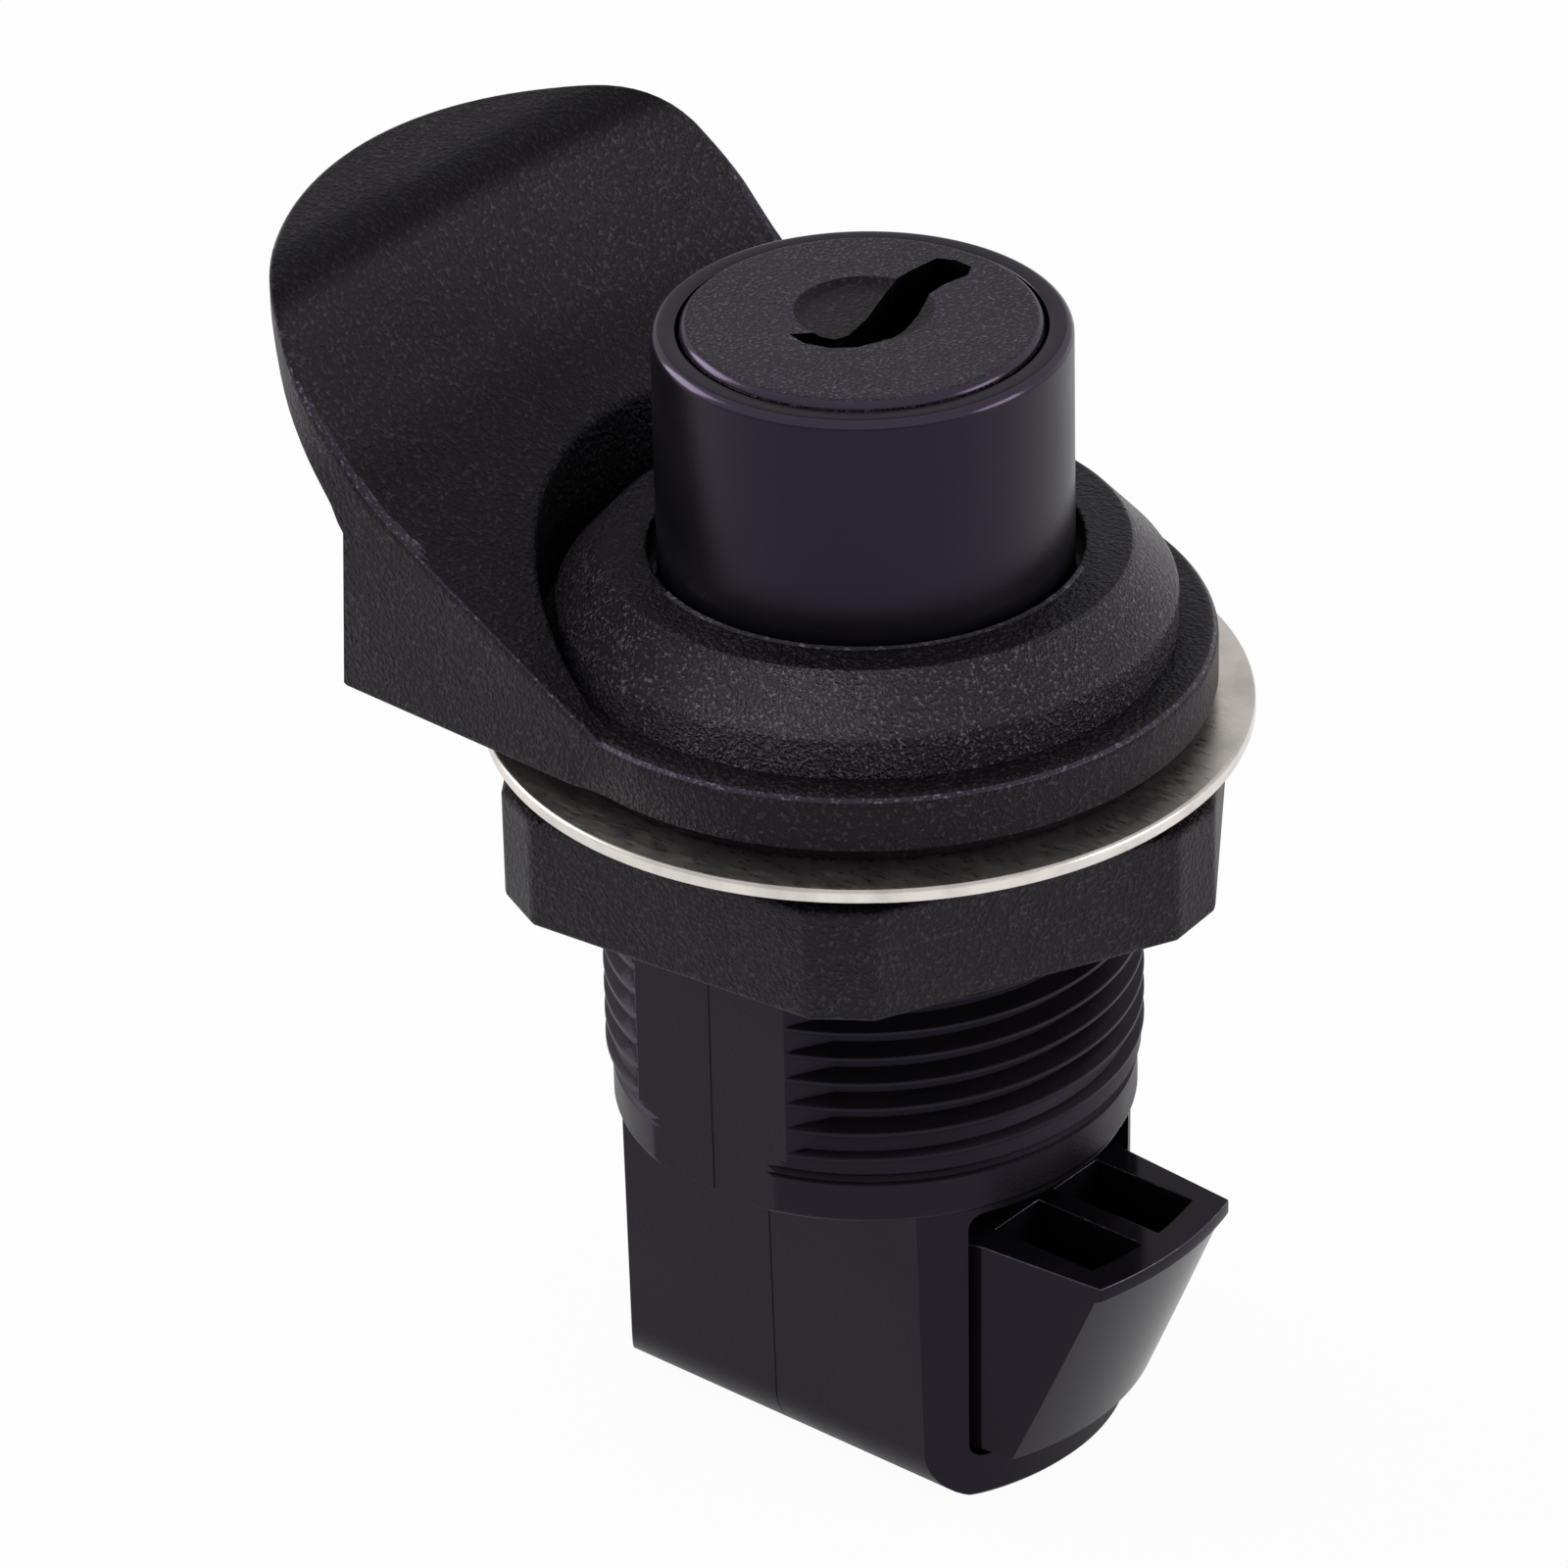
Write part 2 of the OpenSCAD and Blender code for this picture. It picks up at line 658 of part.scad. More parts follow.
// Spring that lifts the button
module button_spring() {
    color("#a9abad") translate([0, 0, floor_top + face_gap])
        coil(bore_r - slide_gap - button_wire, button_wire / 2, disc_foot - floor_top - 2 * face_gap,
            button_turns, 8, 24);
}

// Wedge bolt: front shaped as a cone about the barrel axis, two open pockets and a cam window
module bolt() {
    half_side = [[bolt_back, bolt_w / 2], [bolt_neck, bolt_w / 2], [bolt_neck + 1, bolt_w / 2 - 0.4],
        [bolt_reach, tip_w / 2]];
    color("#0c0b0e") difference() {
        intersection() {
            union() {
                translate([0, 0, bolt_foot]) linear_extrude(height = bolt_top - bolt_foot)
                    polygon(concat(half_side, [for (p = backwards(half_side)) [p[0], -p[1]]]));
                for (s = [-1, 1]) scale([1, s, 1])
                    box([bolt_back, nose_w / 2 + 0.5, bolt_top - 1],
                        [bolt_neck - 2.3, bolt_w / 2, roof_z - slide_gap]);
            }
            bolt_cone(0);
        }
        intersection() {
            for (s = [-1, 1]) scale([1, s, 1])
                box([window_front + 1.8, bolt_rib / 2, bolt_top - bolt_pocket],
                    [bolt_reach, tip_w / 2 - 1.1, bolt_top + 1]);
            bolt_cone(1.7);
        }
        bolt_window();
        translate([bolt_back - 1, 0, spring_z]) rotate([0, 90, 0])
            cylinder(h = 7.5, r = spring_bore_r);
    }
}

// Cone about the barrel axis that shapes the front of the bolt, drawn in by inset
module bolt_cone(inset) {
    slope_top = bolt_top - tip_lip;
    translate([0, 0, slope_top]) cylinder(h = 5, r = bolt_reach - inset);
    translate([0, 0, bolt_foot])
        cylinder(h = slope_top - bolt_foot, r1 = housing_d / 2 - 0.3 - inset, r2 = bolt_reach - inset);
}

// Window in the bolt with the slanted face that the nose pushes on
module bolt_window() {
    gap = 1.5 * face_gap;
    slant_foot = nose_foot - travel - 0.5;
    along_y(nose_w + 2 * slide_gap) polygon([
        [drive_line - gap - roof_z, roof_z], [window_front, roof_z], [window_front, slant_foot],
        [drive_line - gap - slant_foot, slant_foot]]);
}

// Spring that throws the bolt
module bolt_spring() {
    front = bolt_back + 6.5 - face_gap;
    back = spring_seat - 0.6 + face_gap;
    color("#a9abad") translate([back, 0, spring_z]) rotate([0, 90, 0])
        coil(spring_bore_r - slide_gap - bolt_wire / 2, bolt_wire / 2, front - back, bolt_turns, 6, 14);
}

pull_bezel();
barrel_body();
retaining_ring();
panel_gasket();
steel_washer();
hex_nut();
button_sleeve();
button_seal();
cylinder_shell();
shell_pin();
lock_plug();
wafer_set();
wafer_springs();
plug_clip();
locking_cam();
cam_screw();
plunger();
plunger_screws();
button_spring();
bolt();
bolt_spring();
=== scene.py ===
# %% [markdown]
# # A pushbutton latch in black nylon
#
# This lesson dresses a keyed pushbutton latch with a finger pull. The CAD model gives the frame:
# every size and place. Here each visible moulding gets the rounded edges, the thread and the
# surface that the real one has. All shapes are drawn in millimetres and scaled to metres once.

# %% Load the frame
import math

import bmesh
import bpy
from mathutils import Matrix, Vector


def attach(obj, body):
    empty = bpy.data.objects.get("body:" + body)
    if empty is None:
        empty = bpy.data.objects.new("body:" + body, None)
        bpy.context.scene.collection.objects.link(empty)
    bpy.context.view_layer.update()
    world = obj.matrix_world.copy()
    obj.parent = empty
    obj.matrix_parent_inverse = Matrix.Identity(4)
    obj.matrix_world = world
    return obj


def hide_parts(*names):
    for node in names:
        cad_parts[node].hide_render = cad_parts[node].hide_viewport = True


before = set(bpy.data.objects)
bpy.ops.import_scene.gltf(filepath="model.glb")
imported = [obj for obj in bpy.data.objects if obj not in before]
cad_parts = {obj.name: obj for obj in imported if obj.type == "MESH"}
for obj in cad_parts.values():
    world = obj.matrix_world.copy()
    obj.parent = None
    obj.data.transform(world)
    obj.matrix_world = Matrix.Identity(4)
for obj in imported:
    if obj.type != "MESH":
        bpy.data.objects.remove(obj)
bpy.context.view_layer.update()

MM = 0.001


def put(name, data):
    """A new object in the scene."""
    made = bpy.data.objects.new(name, data)
    bpy.context.scene.collection.objects.link(made)
    return made


# %% [markdown]
# ## The camera
#
# The photograph was taken with a long lens from the front right, about 30 degrees above the
# object. The camera is placed from its bearing, its height and its distance, then turned a little
# about its own axis, because the photographer held it so. It could be tracked to a target object,
# but a matrix keeps it exact.

# %% Place the camera
BEARING, HEIGHT, ROLL = math.radians(40.376), math.radians(30.211), math.radians(-1.365)
DISTANCE, ASIDE, ABOVE = 470.5 * MM, 4.287 * MM, 5.551 * MM
LENS_MM, SENSOR_MM = 212.436, 36

back = Vector((math.sin(BEARING) * math.cos(HEIGHT), -math.cos(BEARING) * math.cos(HEIGHT),
               math.sin(HEIGHT)))
level = Vector((math.cos(BEARING), math.sin(BEARING), 0))
upright = back.cross(level)
right = level * math.cos(ROLL) + upright * math.sin(ROLL)
up = upright * math.cos(ROLL) - level * math.sin(ROLL)
camera = put("camera", bpy.data.cameras.new("camera"))
camera.data.lens, camera.data.sensor_width = LENS_MM, SENSOR_MM
camera.matrix_world = Matrix.Translation(back * DISTANCE - right * ASIDE - up * ABOVE) @ Matrix(
    (right, up, back)).transposed().to_4x4()
bpy.context.scene.camera = camera
bpy.context.scene.view_settings.view_transform = "Standard"
print("camera at", [round(v, 4) for v in camera.matrix_world.translation])

# %% [markdown]
# ## Colour and nodes
#
# Colours are written as they look on a screen, in sRGB hex, and one function turns them to the
# linear values that Blender mixes with. Another adds a node, sets it and links it in one line.
# A third starts a material, and the last turns a size in millimetres into a texture's scale.

# %% Helpers for materials
def linear(hex_colour, alpha=1.0):
    """Linear RGBA of an sRGB hex colour."""
    parts = [int(hex_colour[i:i + 2], 16) / 255 for i in (1, 3, 5)]
    return [p / 12.92 if p <= 0.04045 else ((p + 0.055) / 1.055) ** 2.4 for p in parts] + [alpha]


def add(tree, kind, sockets=None, **settings):
    """Adds a shader node with its settings. Sockets, by name or number, get values or links."""
    made = tree.nodes.new("ShaderNode" + kind)
    for name, value in settings.items():
        setattr(made, name, value)
    for key, value in (sockets or {}).items():
        if isinstance(value, bpy.types.NodeSocket):
            tree.links.new(value, made.inputs[key])
        else:
            made.inputs[key].default_value = value
    return made


def fresh(name):
    """A new material, its node tree and its shader."""
    made = bpy.data.materials.new(name)
    made.use_nodes = True
    print("material", name)
    return made, made.node_tree, made.node_tree.nodes["Principled BSDF"]


def per_mm(size_mm):
    """Texture scale for a pattern whose features are this many millimetres apart."""
    return 1 / (size_mm * MM)


# %% [markdown]
# ## Moulded black plastics
#
# Every black part is glass-filled nylon or acetal, injection moulded, and it looks as the steel
# of its mould was finished. Spark erosion leaves a field of small pits, a bead-blasted mould a
# fine satin, and a polished mould a gloss. Two noises make this: a fine one for the grain and a
# wide one for the slow changes of gloss where the melt flowed. Grain of real size, 0.05 mm,
# would vanish in the picture, so the coarse finishes draw it at 0.2 to 0.26 mm.

# %% Moulded plastic
FLOW_MM = 6
# The pale colour of the painted glints on the grain's tips, and how much the flow's lighter tone
# is lifted
GLINT_COLOUR, FLOW_LIFT = "#918d95", 1.35
# Black plastic mirrors with a violet tint in the photo, and where it is eroded with a greyer one
VIOLET_SHEEN, GREY_SHEEN = "#eacfff", "#f6e3fb"


def moulded(name, colour, rough, grain_mm, relief_mm, glints=0.0, patchy=0.06, level=0.3,
            seam_mm=0.0, painted_bands=(), sheen=VIOLET_SHEEN):
    """Black plastic with its mould's grain. Glints are painted highlights: pale tips of the grain,
    from 0 to 1. A seam is the fine groove at x = 0 where the mould's halves met. Painted bands are
    a list of heights in mm, each with the share of shine and glints painted there as light and
    shade. The sheen tints what the surface mirrors."""
    made, tree, shader = fresh(name)
    place = add(tree, "TexCoord").outputs["Object"]
    grain = add(tree, "TexNoise", {"Vector": place, "Scale": per_mm(grain_mm), "Detail": 2.5,
                                   "Roughness": 0.6})
    flow = add(tree, "TexNoise", {"Vector": place, "Scale": per_mm(FLOW_MM), "Detail": 3})
    tips = add(tree, "MapRange", {"Value": grain.outputs[0], "From Min": 0.55, "From Max": 0.72,
                                  "To Max": glints})
    tint = add(tree, "MapRange", {"Value": flow.outputs[0], "From Min": 0.3, "From Max": 0.7})
    dark, light = linear(colour), linear(colour)
    light[:3] = [c * FLOW_LIFT for c in light[:3]]
    base = add(tree, "Mix", {0: tint.outputs[0], 6: dark, 7: light}, data_type="RGBA")
    tipped = add(tree, "Mix", {0: tips.outputs[0], 6: base.outputs[2], 7: linear(GLINT_COLOUR)},
                 data_type="RGBA")
    gloss = add(tree, "MapRange", {"Value": flow.outputs[0], "From Min": 0.3, "From Max": 0.7,
                                   "To Min": rough - patchy, "To Max": rough + patchy})
    bump = add(tree, "Bump", {"Height": grain.outputs[0], "Strength": 1.0,
                              "Distance": relief_mm * MM})
    tree.links.new(tipped.outputs[2], shader.inputs["Base Color"])
    tree.links.new(gloss.outputs[0], shader.inputs["Roughness"])
    tree.links.new(bump.outputs[0], shader.inputs["Normal"])
    if seam_mm:
        across = add(tree, "SeparateXYZ", {0: place})
        off = add(tree, "Math", {0: across.outputs[0]}, operation="ABSOLUTE")
        clear = add(tree, "MapRange", {"Value": off.outputs[0], "From Max": seam_mm * MM})
        shine = add(tree, "Math", {0: clear.outputs[0], 1: level}, operation="MULTIPLY")
        tree.links.new(shine.outputs[0], shader.inputs["Specular IOR Level"])
    # Painted light and shade by height: a ramp over z scales the shine and the pale glint tips
    if painted_bands:
        low, high = painted_bands[0][0], painted_bands[-1][0]
        parts = add(tree, "SeparateXYZ", {0: place})
        share = add(tree, "MapRange", {"Value": parts.outputs[2], "From Min": low * MM,
                                       "From Max": high * MM})
        ramp = add(tree, "ValToRGB", {0: share.outputs[0]})
        ramp.color_ramp.interpolation = "EASE"
        stops = ramp.color_ramp.elements
        for i, (z, left) in enumerate(painted_bands):
            at = (z - low) / (high - low)
            stop = stops[i] if i < 2 else stops.new(at)
            stop.position, stop.color = at, (left, left, left, 1)
        shine = add(tree, "Math", {0: ramp.outputs[0], 1: level}, operation="MULTIPLY")
        tree.links.new(shine.outputs[0], shader.inputs["Specular IOR Level"])
        banded_glints = add(tree, "Math", {0: ramp.outputs[0], 1: tips.outputs[0]}, operation="MULTIPLY")
        tree.links.new(banded_glints.outputs[0], tipped.inputs[0])
    shader.inputs["IOR"].default_value = 1.5
    shader.inputs["Specular IOR Level"].default_value = level
    shader.inputs["Specular Tint"].default_value = linear(sheen)
    return made


# Spark-eroded nylon: deep matt grain, with faint pale tips as painted glints
eroded = moulded("nylon_spark_eroded", "#0e0d10", 0.42, 0.26, 0.24, glints=0.16, sheen=GREY_SHEEN)
# The pull, of the same nylon, with painted bands of light and shade by height, brightest on its
# steep face
pull_painted_bands = moulded("nylon_spark_eroded_painted_bands", "#0e0d10", 0.42, 0.26, 0.24, glints=0.3,
                  level=0.45, painted_bands=((11.5, 0.6), (13.8, 1.0), (18.2, 1.0), (19.4, 0.3),
                                    (20.1, 0.35), (20.5, 0.7), (21.0, 0.7)), sheen=GREY_SHEEN)
# The same nylon on the collar, where a coarser spark left a rougher grain, its pale tips a painted
# sparkle
coarse = moulded("nylon_coarse_spark_eroded", "#0c0b0e", 0.26, 0.2, 0.9, glints=1.0, level=0.8,
                 sheen=GREY_SHEEN)
# The lock's face, eroded too, with a paler base and pale grain tips as painted glints
face_pale = moulded("nylon_spark_eroded_pale_face", "#17151a", 0.42, 0.2, 0.45, glints=0.65, level=0.5)
# Thin pale edges broken into short stretches: partly rubbed wear, partly painted highlight
edge_wear_and_highlight = moulded("nylon_edge_wear_and_painted_highlight", "#2b292e", 0.3, 0.22, 0.1, glints=0.9, level=0.5)
# Rounded edges that touch polishes further: they shine as lines, and their paler base is painted
# highlight
polished = moulded("acetal_polished_edge", "#1d1b20", 0.2, 0.12, 0.004, patchy=0.08, level=1.0)
# The lip and pocket rims of the bolt, painted pale as their highlights
lip_painted_highlight = moulded("acetal_lip_painted_highlight", "#37353a", 0.16, 0.4, 0.02, glints=0.6, level=1.0)
# A thin burr at the collar's hole, broken, and painted pale as its highlight
painted_burr_highlight = moulded("nylon_burr_painted_highlight", "#3f3c42", 0.3, 0.45, 0.15, glints=1.0, level=0.7)
# Nylon from a bead-blasted mould: even satin on barrel and housing
satin = moulded("nylon_bead_blasted", "#0d0c0f", 0.38, 0.14, 0.014, seam_mm=0.09)
# Acetal button from a fine-drawn mould: smooth with a soft broad highlight
smooth = moulded("acetal_button", "#131216", 0.32, 0.12, 0.006, patchy=0.03, level=0.36)
# Acetal bolt from a polished mould: glossy and slippery
gloss = moulded("acetal_polished", "#141217", 0.13, 0.5, 0.002, patchy=0.04, level=0.2)
# The same in the keyway, near black: painted shade where little light would reach
keyway_painted_shade = moulded("nylon_keyway_painted_shade", "#040404", 0.7, 0.3, 0.01, level=0.05)
# Natural black nylon of the inner plunger, unpolished
inner_nylon = moulded("nylon_plain_moulded", "#1c1b1f", 0.5, 0.18, 0.02)
# Nitrile rubber, pressed: dull and slightly dusty
rubber = moulded("nitrile_rubber_pressed", "#0b0b0c", 0.75, 0.3, 0.02, glints=0.05, level=0.2)

# %% [markdown]
# ## Metals
#
# The washer is punched from cold-rolled stainless sheet: bright, with fine scratches round and
# round from tumbling. Inside are die-cast zinc, brass wafers and zinc-plated steel. A metal's
# colour is its reflection, so only roughness and relief tell its making. Stretched noise draws
# the scratches: the pattern is squeezed along one axis.

# %% Worked metal
STAIN_MM, STAIN_SHARE = 2.5, 0.78


def metal(name, colour, rough, spread, scratch_mm, stretch, relief_mm):
    """Metal with streaks: scratch_mm apart, stretch times longer than wide."""
    made, tree, shader = fresh(name)
    place = add(tree, "TexCoord").outputs["Object"]
    drawn = add(tree, "Mapping", {"Vector": place, "Scale": (1 / stretch, 1, 1 / stretch)})
    lines = add(tree, "TexNoise", {"Vector": drawn.outputs[0], "Scale": per_mm(scratch_mm),
                                   "Detail": 3})
    stain = add(tree, "TexNoise", {"Vector": place, "Scale": per_mm(STAIN_MM), "Detail": 4})
    shine = add(tree, "MapRange", {"Value": lines.outputs[0], "From Min": 0.3, "From Max": 0.7,
                                   "To Min": rough - spread, "To Max": rough + spread})
    dull = linear(colour)
    dull[:3] = [c * STAIN_SHARE for c in dull[:3]]
    shade = add(tree, "MapRange", {"Value": stain.outputs[0], "From Min": 0.45, "From Max": 0.75})
    base = add(tree, "Mix", {0: shade.outputs[0], 6: linear(colour), 7: dull}, data_type="RGBA")
    bump = add(tree, "Bump", {"Height": lines.outputs[0], "Strength": 1.0,
                              "Distance": relief_mm * MM})
    tree.links.new(base.outputs[2], shader.inputs["Base Color"])
    tree.links.new(shine.outputs[0], shader.inputs["Roughness"])
    tree.links.new(bump.outputs[0], shader.inputs["Normal"])
    shader.inputs["Metallic"].default_value = 1.0
    return made


# The washer: rolled, punched and tumbled, with fine long scratches
stainless = metal("stainless_rolled_and_tumbled", "#fbf4ee", 0.34, 0.08, 0.12, 6, 0.004)
# The lock's shell and cam: cast in a die and left as they come out, with a fine skin
die_cast = metal("zinc_die_cast", "#a3a4a7", 0.48, 0.08, 0.3, 1, 0.012)
# Screws and pin: turned, then zinc-plated
plated = metal("steel_zinc_plated", "#b9bcc0", 0.32, 0.08, 0.15, 4, 0.003)
# Wire of the springs and the clips: drawn through a die, so streaked along its length
sprung = metal("spring_steel_drawn", "#8d8f93", 0.3, 0.06, 0.08, 8, 0.002)
# The wafers: stamped from sheet
brass = metal("brass_stamped", "#c2a05a", 0.34, 0.08, 0.15, 5, 0.003)

# %% [markdown]
# ## Helpers for shapes
#
# Every solid starts as a bmesh in millimetres. A lathe turns a closed profile about the upright
# axis, and a face that moves along a vector leaves a block behind.

# %% Turned and grown solids
def tidy(bm):
    """Merges doubles and turns all faces outwards."""
    bmesh.ops.remove_doubles(bm, verts=bm.verts, dist=1e-4)
    bmesh.ops.recalc_face_normals(bm, faces=bm.faces)


def arc(centre, radius, start, end, steps):
    """Points of an arc in a plane, angles in degrees."""
    turns = [math.radians(start + (end - start) * i / steps) for i in range(steps + 1)]
    return [(centre[0] + radius * math.cos(a), centre[1] + radius * math.sin(a)) for a in turns]


def lathe(profile, steps=160):
    """Solid of revolution about Z from a closed profile of (radius, height) points."""
    bm = bmesh.new()
    corners = [bm.verts.new((r, 0, z)) for r, z in profile]
    edges = [bm.edges.new((a, b)) for a, b in zip(corners, corners[1:] + corners[:1])
             if a.co.x > 1e-6 or b.co.x > 1e-6]
    bmesh.ops.spin(bm, geom=corners + edges, axis=(0, 0, 1), cent=(0, 0, 0),
                   angle=2 * math.pi, steps=steps, use_merge=True)
    tidy(bm)
    return bm


def rod(radius, low, high):
    """Plain cylinder about Z."""
    return lathe([(0, low), (radius, low), (radius, high), (0, high)])


def grow(corners, along):
    """Block that a flat face leaves behind when it moves along a vector."""
    bm = bmesh.new()
    face = bm.faces.new([bm.verts.new(corner) for corner in corners])
    grown = bmesh.ops.extrude_face_region(bm, geom=[face])["geom"]
    bmesh.ops.translate(bm, verts=[v for v in grown if isinstance(v, bmesh.types.BMVert)],
                        vec=along)
    tidy(bm)
    return bm


def prism(outline, low, high):
    """Upright block on a flat outline."""
    return grow([(x, y, low) for x, y in outline], (0, 0, high - low))


# %% [markdown]
# A plane cuts a solid and the cut is closed again. Sharp edges are rounded as a mould's are, once
# the slivers between faces in one plane are gone. Whole solids are joined, cut and crossed with
# the exact solver.

# %% Cuts, round edges and joins
def trim(bm, point, normal):
    """Cuts away what lies beyond a plane and closes the cut."""
    bmesh.ops.bisect_plane(bm, geom=bm.verts[:] + bm.edges[:] + bm.faces[:], plane_co=point,
                           plane_no=normal, clear_outer=True)
    bmesh.ops.holes_fill(bm, edges=[e for e in bm.edges if e.is_boundary])
    tidy(bm)


def flats(bm, half):
    """Cuts both sides flat at this distance from the middle."""
    for side in (-1, 1):
        trim(bm, (0, side * half, 0), (0, side, 0))


def flat_again(bm):
    """Makes flat faces one, so that no sliver is left for the next step."""
    bmesh.ops.remove_doubles(bm, verts=bm.verts, dist=1e-4)
    bmesh.ops.dissolve_limit(bm, angle_limit=math.radians(0.3), verts=bm.verts, edges=bm.edges)


def soften(bm, width, segments=3, where=lambda edge: True, degrees=25):
    """Rounds the edges that turn by more than the given angle, after flat faces are made one."""
    flat_again(bm)
    sharp = [e for e in bm.edges if e.is_manifold and
             e.calc_face_angle(0) > math.radians(degrees) and where(e)]
    bmesh.ops.bevel(bm, geom=sharp, offset=width, offset_type="OFFSET", segments=segments,
                    profile=0.5, affect="EDGES", clamp_overlap=True, material=-1)
    tidy(bm)


def block(bm, name="tool"):
    """Makes an object of a bmesh, in millimetres, for cutting and joining."""
    mesh = bpy.data.meshes.new(name)
    bm.to_mesh(mesh)
    bm.free()
    return put(name, mesh)


def reshape(piece, *changes):
    """Lets functions work on the bmesh of an object and puts it back."""
    bm = bmesh.new()
    bm.from_mesh(piece.data)
    for change in changes:
        change(bm)
    bm.to_mesh(piece.data)
    bm.free()


def combine(piece, tool, how):
    """Joins, cuts or crosses a solid with another, which is used up."""
    step = piece.modifiers.new(how, "BOOLEAN")
    step.operation, step.object, step.solver = how, tool, "EXACT"
    evaluated = piece.evaluated_get(bpy.context.evaluated_depsgraph_get())
    result = bpy.data.meshes.new_from_object(evaluated)
    piece.modifiers.clear()
    piece.data = result
    bpy.data.objects.remove(tool)
    reshape(piece, flat_again)


# %% [markdown]
# ## Finishing a piece
#
# Each piece ends the same way: doubles are merged, the faces are turned outwards, the mesh is
# scaled to metres, and smooth shading stops at the sharp edges. Weighted normals keep the large
# flat faces flat up to their rounded edges. One function does it, names the piece, ties it to its
# body, gives it its material and hides the CAD node that it stands for.

# %% Helper for a finished piece
def finish_piece(piece, name, body, slot, material, *nodes, sharp=32):
    """Scales a solid to metres, shades it and ties it to the frame."""
    reshape(piece, tidy, lambda bm: bmesh.ops.scale(bm, vec=(MM, MM, MM), verts=bm.verts))
    piece.name = piece.data.name = name
    piece.data.shade_smooth()
    piece.data.set_sharp_from_angle(angle=math.radians(sharp))
    weighted = piece.modifiers.new("flat_faces", "WEIGHTED_NORMAL")
    weighted.keep_sharp, weighted.weight = True, 100
    piece.data.materials.clear()
    piece.data.materials.append(material)
    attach(piece, body)
    if nodes:
        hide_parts(*nodes)
    print(name, "faces", len(piece.data.polygons), "size mm",
          [round(v / MM, 2) for v in piece.dimensions])
    return piece


# %% [markdown]
# Some faces of a moulding have another finish than the rest: a coarser stretch of the mould, an
# edge painted pale, partly as wear and partly as highlight, or painted shade in a hollow. They get
# a second material instead of an object of their own. A test picks them by the middle of the
# face, its outer reach from the axis and its normal.

# %% Helper for a second finish
def dress(piece, material, test):
    """Gives a material to the faces that pass the test, which is asked in millimetres."""
    piece.data.materials.append(material)
    count = 0
    for face in piece.data.polygons:
        reach = max(piece.data.vertices[i].co.xy.length for i in face.vertices) / MM
        if test(face.center / MM, reach, face.normal):
            face.material_index = len(piece.data.materials) - 1
            count += 1
    print(material.name, "on", count, "faces of", piece.name)


# %% [markdown]
# ## The finger pull
#
# The thumb ramp rises from the bezel, turns up steeply and curls over into a lip. Seen from
# above, its outline runs straight along both sides and rounds off in one sweep. The wall is a
# tube that follows this outline: each ring of points starts in the recess round the collar, goes
# over the top, round the thin edge, back under the lip and down the back wall. It could be a
# sculpted grid with a Solidify modifier, but a ring gives the rounded edges their true size.

# %% Heights of the pull
def curve_through(points):
    """Smooth height along X through key points, which may not overshoot between them."""
    xs, zs = zip(*points)
    rise = [(zs[i + 1] - zs[i]) / (xs[i + 1] - xs[i]) for i in range(len(xs) - 1)]
    slope = [rise[0]] + [0 if a * b <= 0 else 2 * a * b / (a + b)
                         for a, b in zip(rise, rise[1:])] + [rise[-1]]

    def height(x):
        i = max(0, min(len(xs) - 2, sum(1 for v in xs[1:-1] if (v - x) * (xs[1] - xs[0]) <= 0)))
        w = xs[i + 1] - xs[i]
        t = (x - xs[i]) / w
        return (zs[i] * (1 + 2 * t) * (1 - t) ** 2 + slope[i] * w * t * (1 - t) ** 2
                + zs[i + 1] * t * t * (3 - 2 * t) + slope[i + 1] * w * t * t * (t - 1))

    return height


SCOOP_HALF = 17.2
side_top = curve_through([(4, -0.76), (-2.1, 2.45), (-9, 6.09), (-16.5, 10.04), (-18.55, 11.35),
                          (-19.8, 12.55), (-22.6, 15.75), (-23.8, 17.25), (-24.8, 18.55),
                          (-26, 19.55), (-27.6, 20.15), (-29.8, 20.42), (-32.8, 20.95)])
mid_top = curve_through([(4, -0.76), (-2.1, 2.45), (-12, 7.67), (-20.5, 12.15), (-22.8, 13.75),
                         (-24.2, 15.6), (-25.3, 17.4), (-26.8, 19.35), (-28.2, 20.15),
                         (-29.8, 20.45), (-32.8, 20.95)])
side_under = curve_through([(-19.9, 7.9), (-20.3, 8.8), (-21.1, 10.3), (-22.4, 12), (-24.4, 14.6),
                            (-26.1, 17.3), (-27, 18.2), (-28, 18.65), (-29.9, 18.8),
                            (-32.8, 19.3)])
mid_under = curve_through([(-19.9, 7.9), (-20.3, 8.8), (-21.2, 10.1), (-22.7, 11.5),
                           (-24.5, 13.3), (-26.4, 16.2), (-28, 18.2), (-29.7, 18.8),
                           (-32.8, 19.3)])


def blended(side, middle, at):
    """Height at a point: the side's curve at the edge, the middle's in the scoop."""
    w = max(0.0, 1 - (at.y / SCOOP_HALF) ** 2)
    return (1 - w) * side(at.x) + w * middle(at.x)


def top(at):
    """Height of the upper surface."""
    return blended(side_top, mid_top, at)


def under(at):
    """Height of the lip's underside."""
    return blended(side_under, mid_under, at)


print("lip's thickness in mm, 2 mm from its front:",
      round(top(Vector((-30.6, 0))) - under(Vector((-30.6, 0))), 2))

# %% [markdown]
# Seen from above, one side of the outline runs straight back to the corner of the wall, and the
# lip's sweep is a Bezier curve with four knots. The other side is its mirror.

# %% Outline of the pull
BACK_X, BACK_Y, LIP_X, SIDE_Y = -20.15, 16.95, -32.6, 17.74
SIDE_STEPS, LIP_STEPS = 22, 30

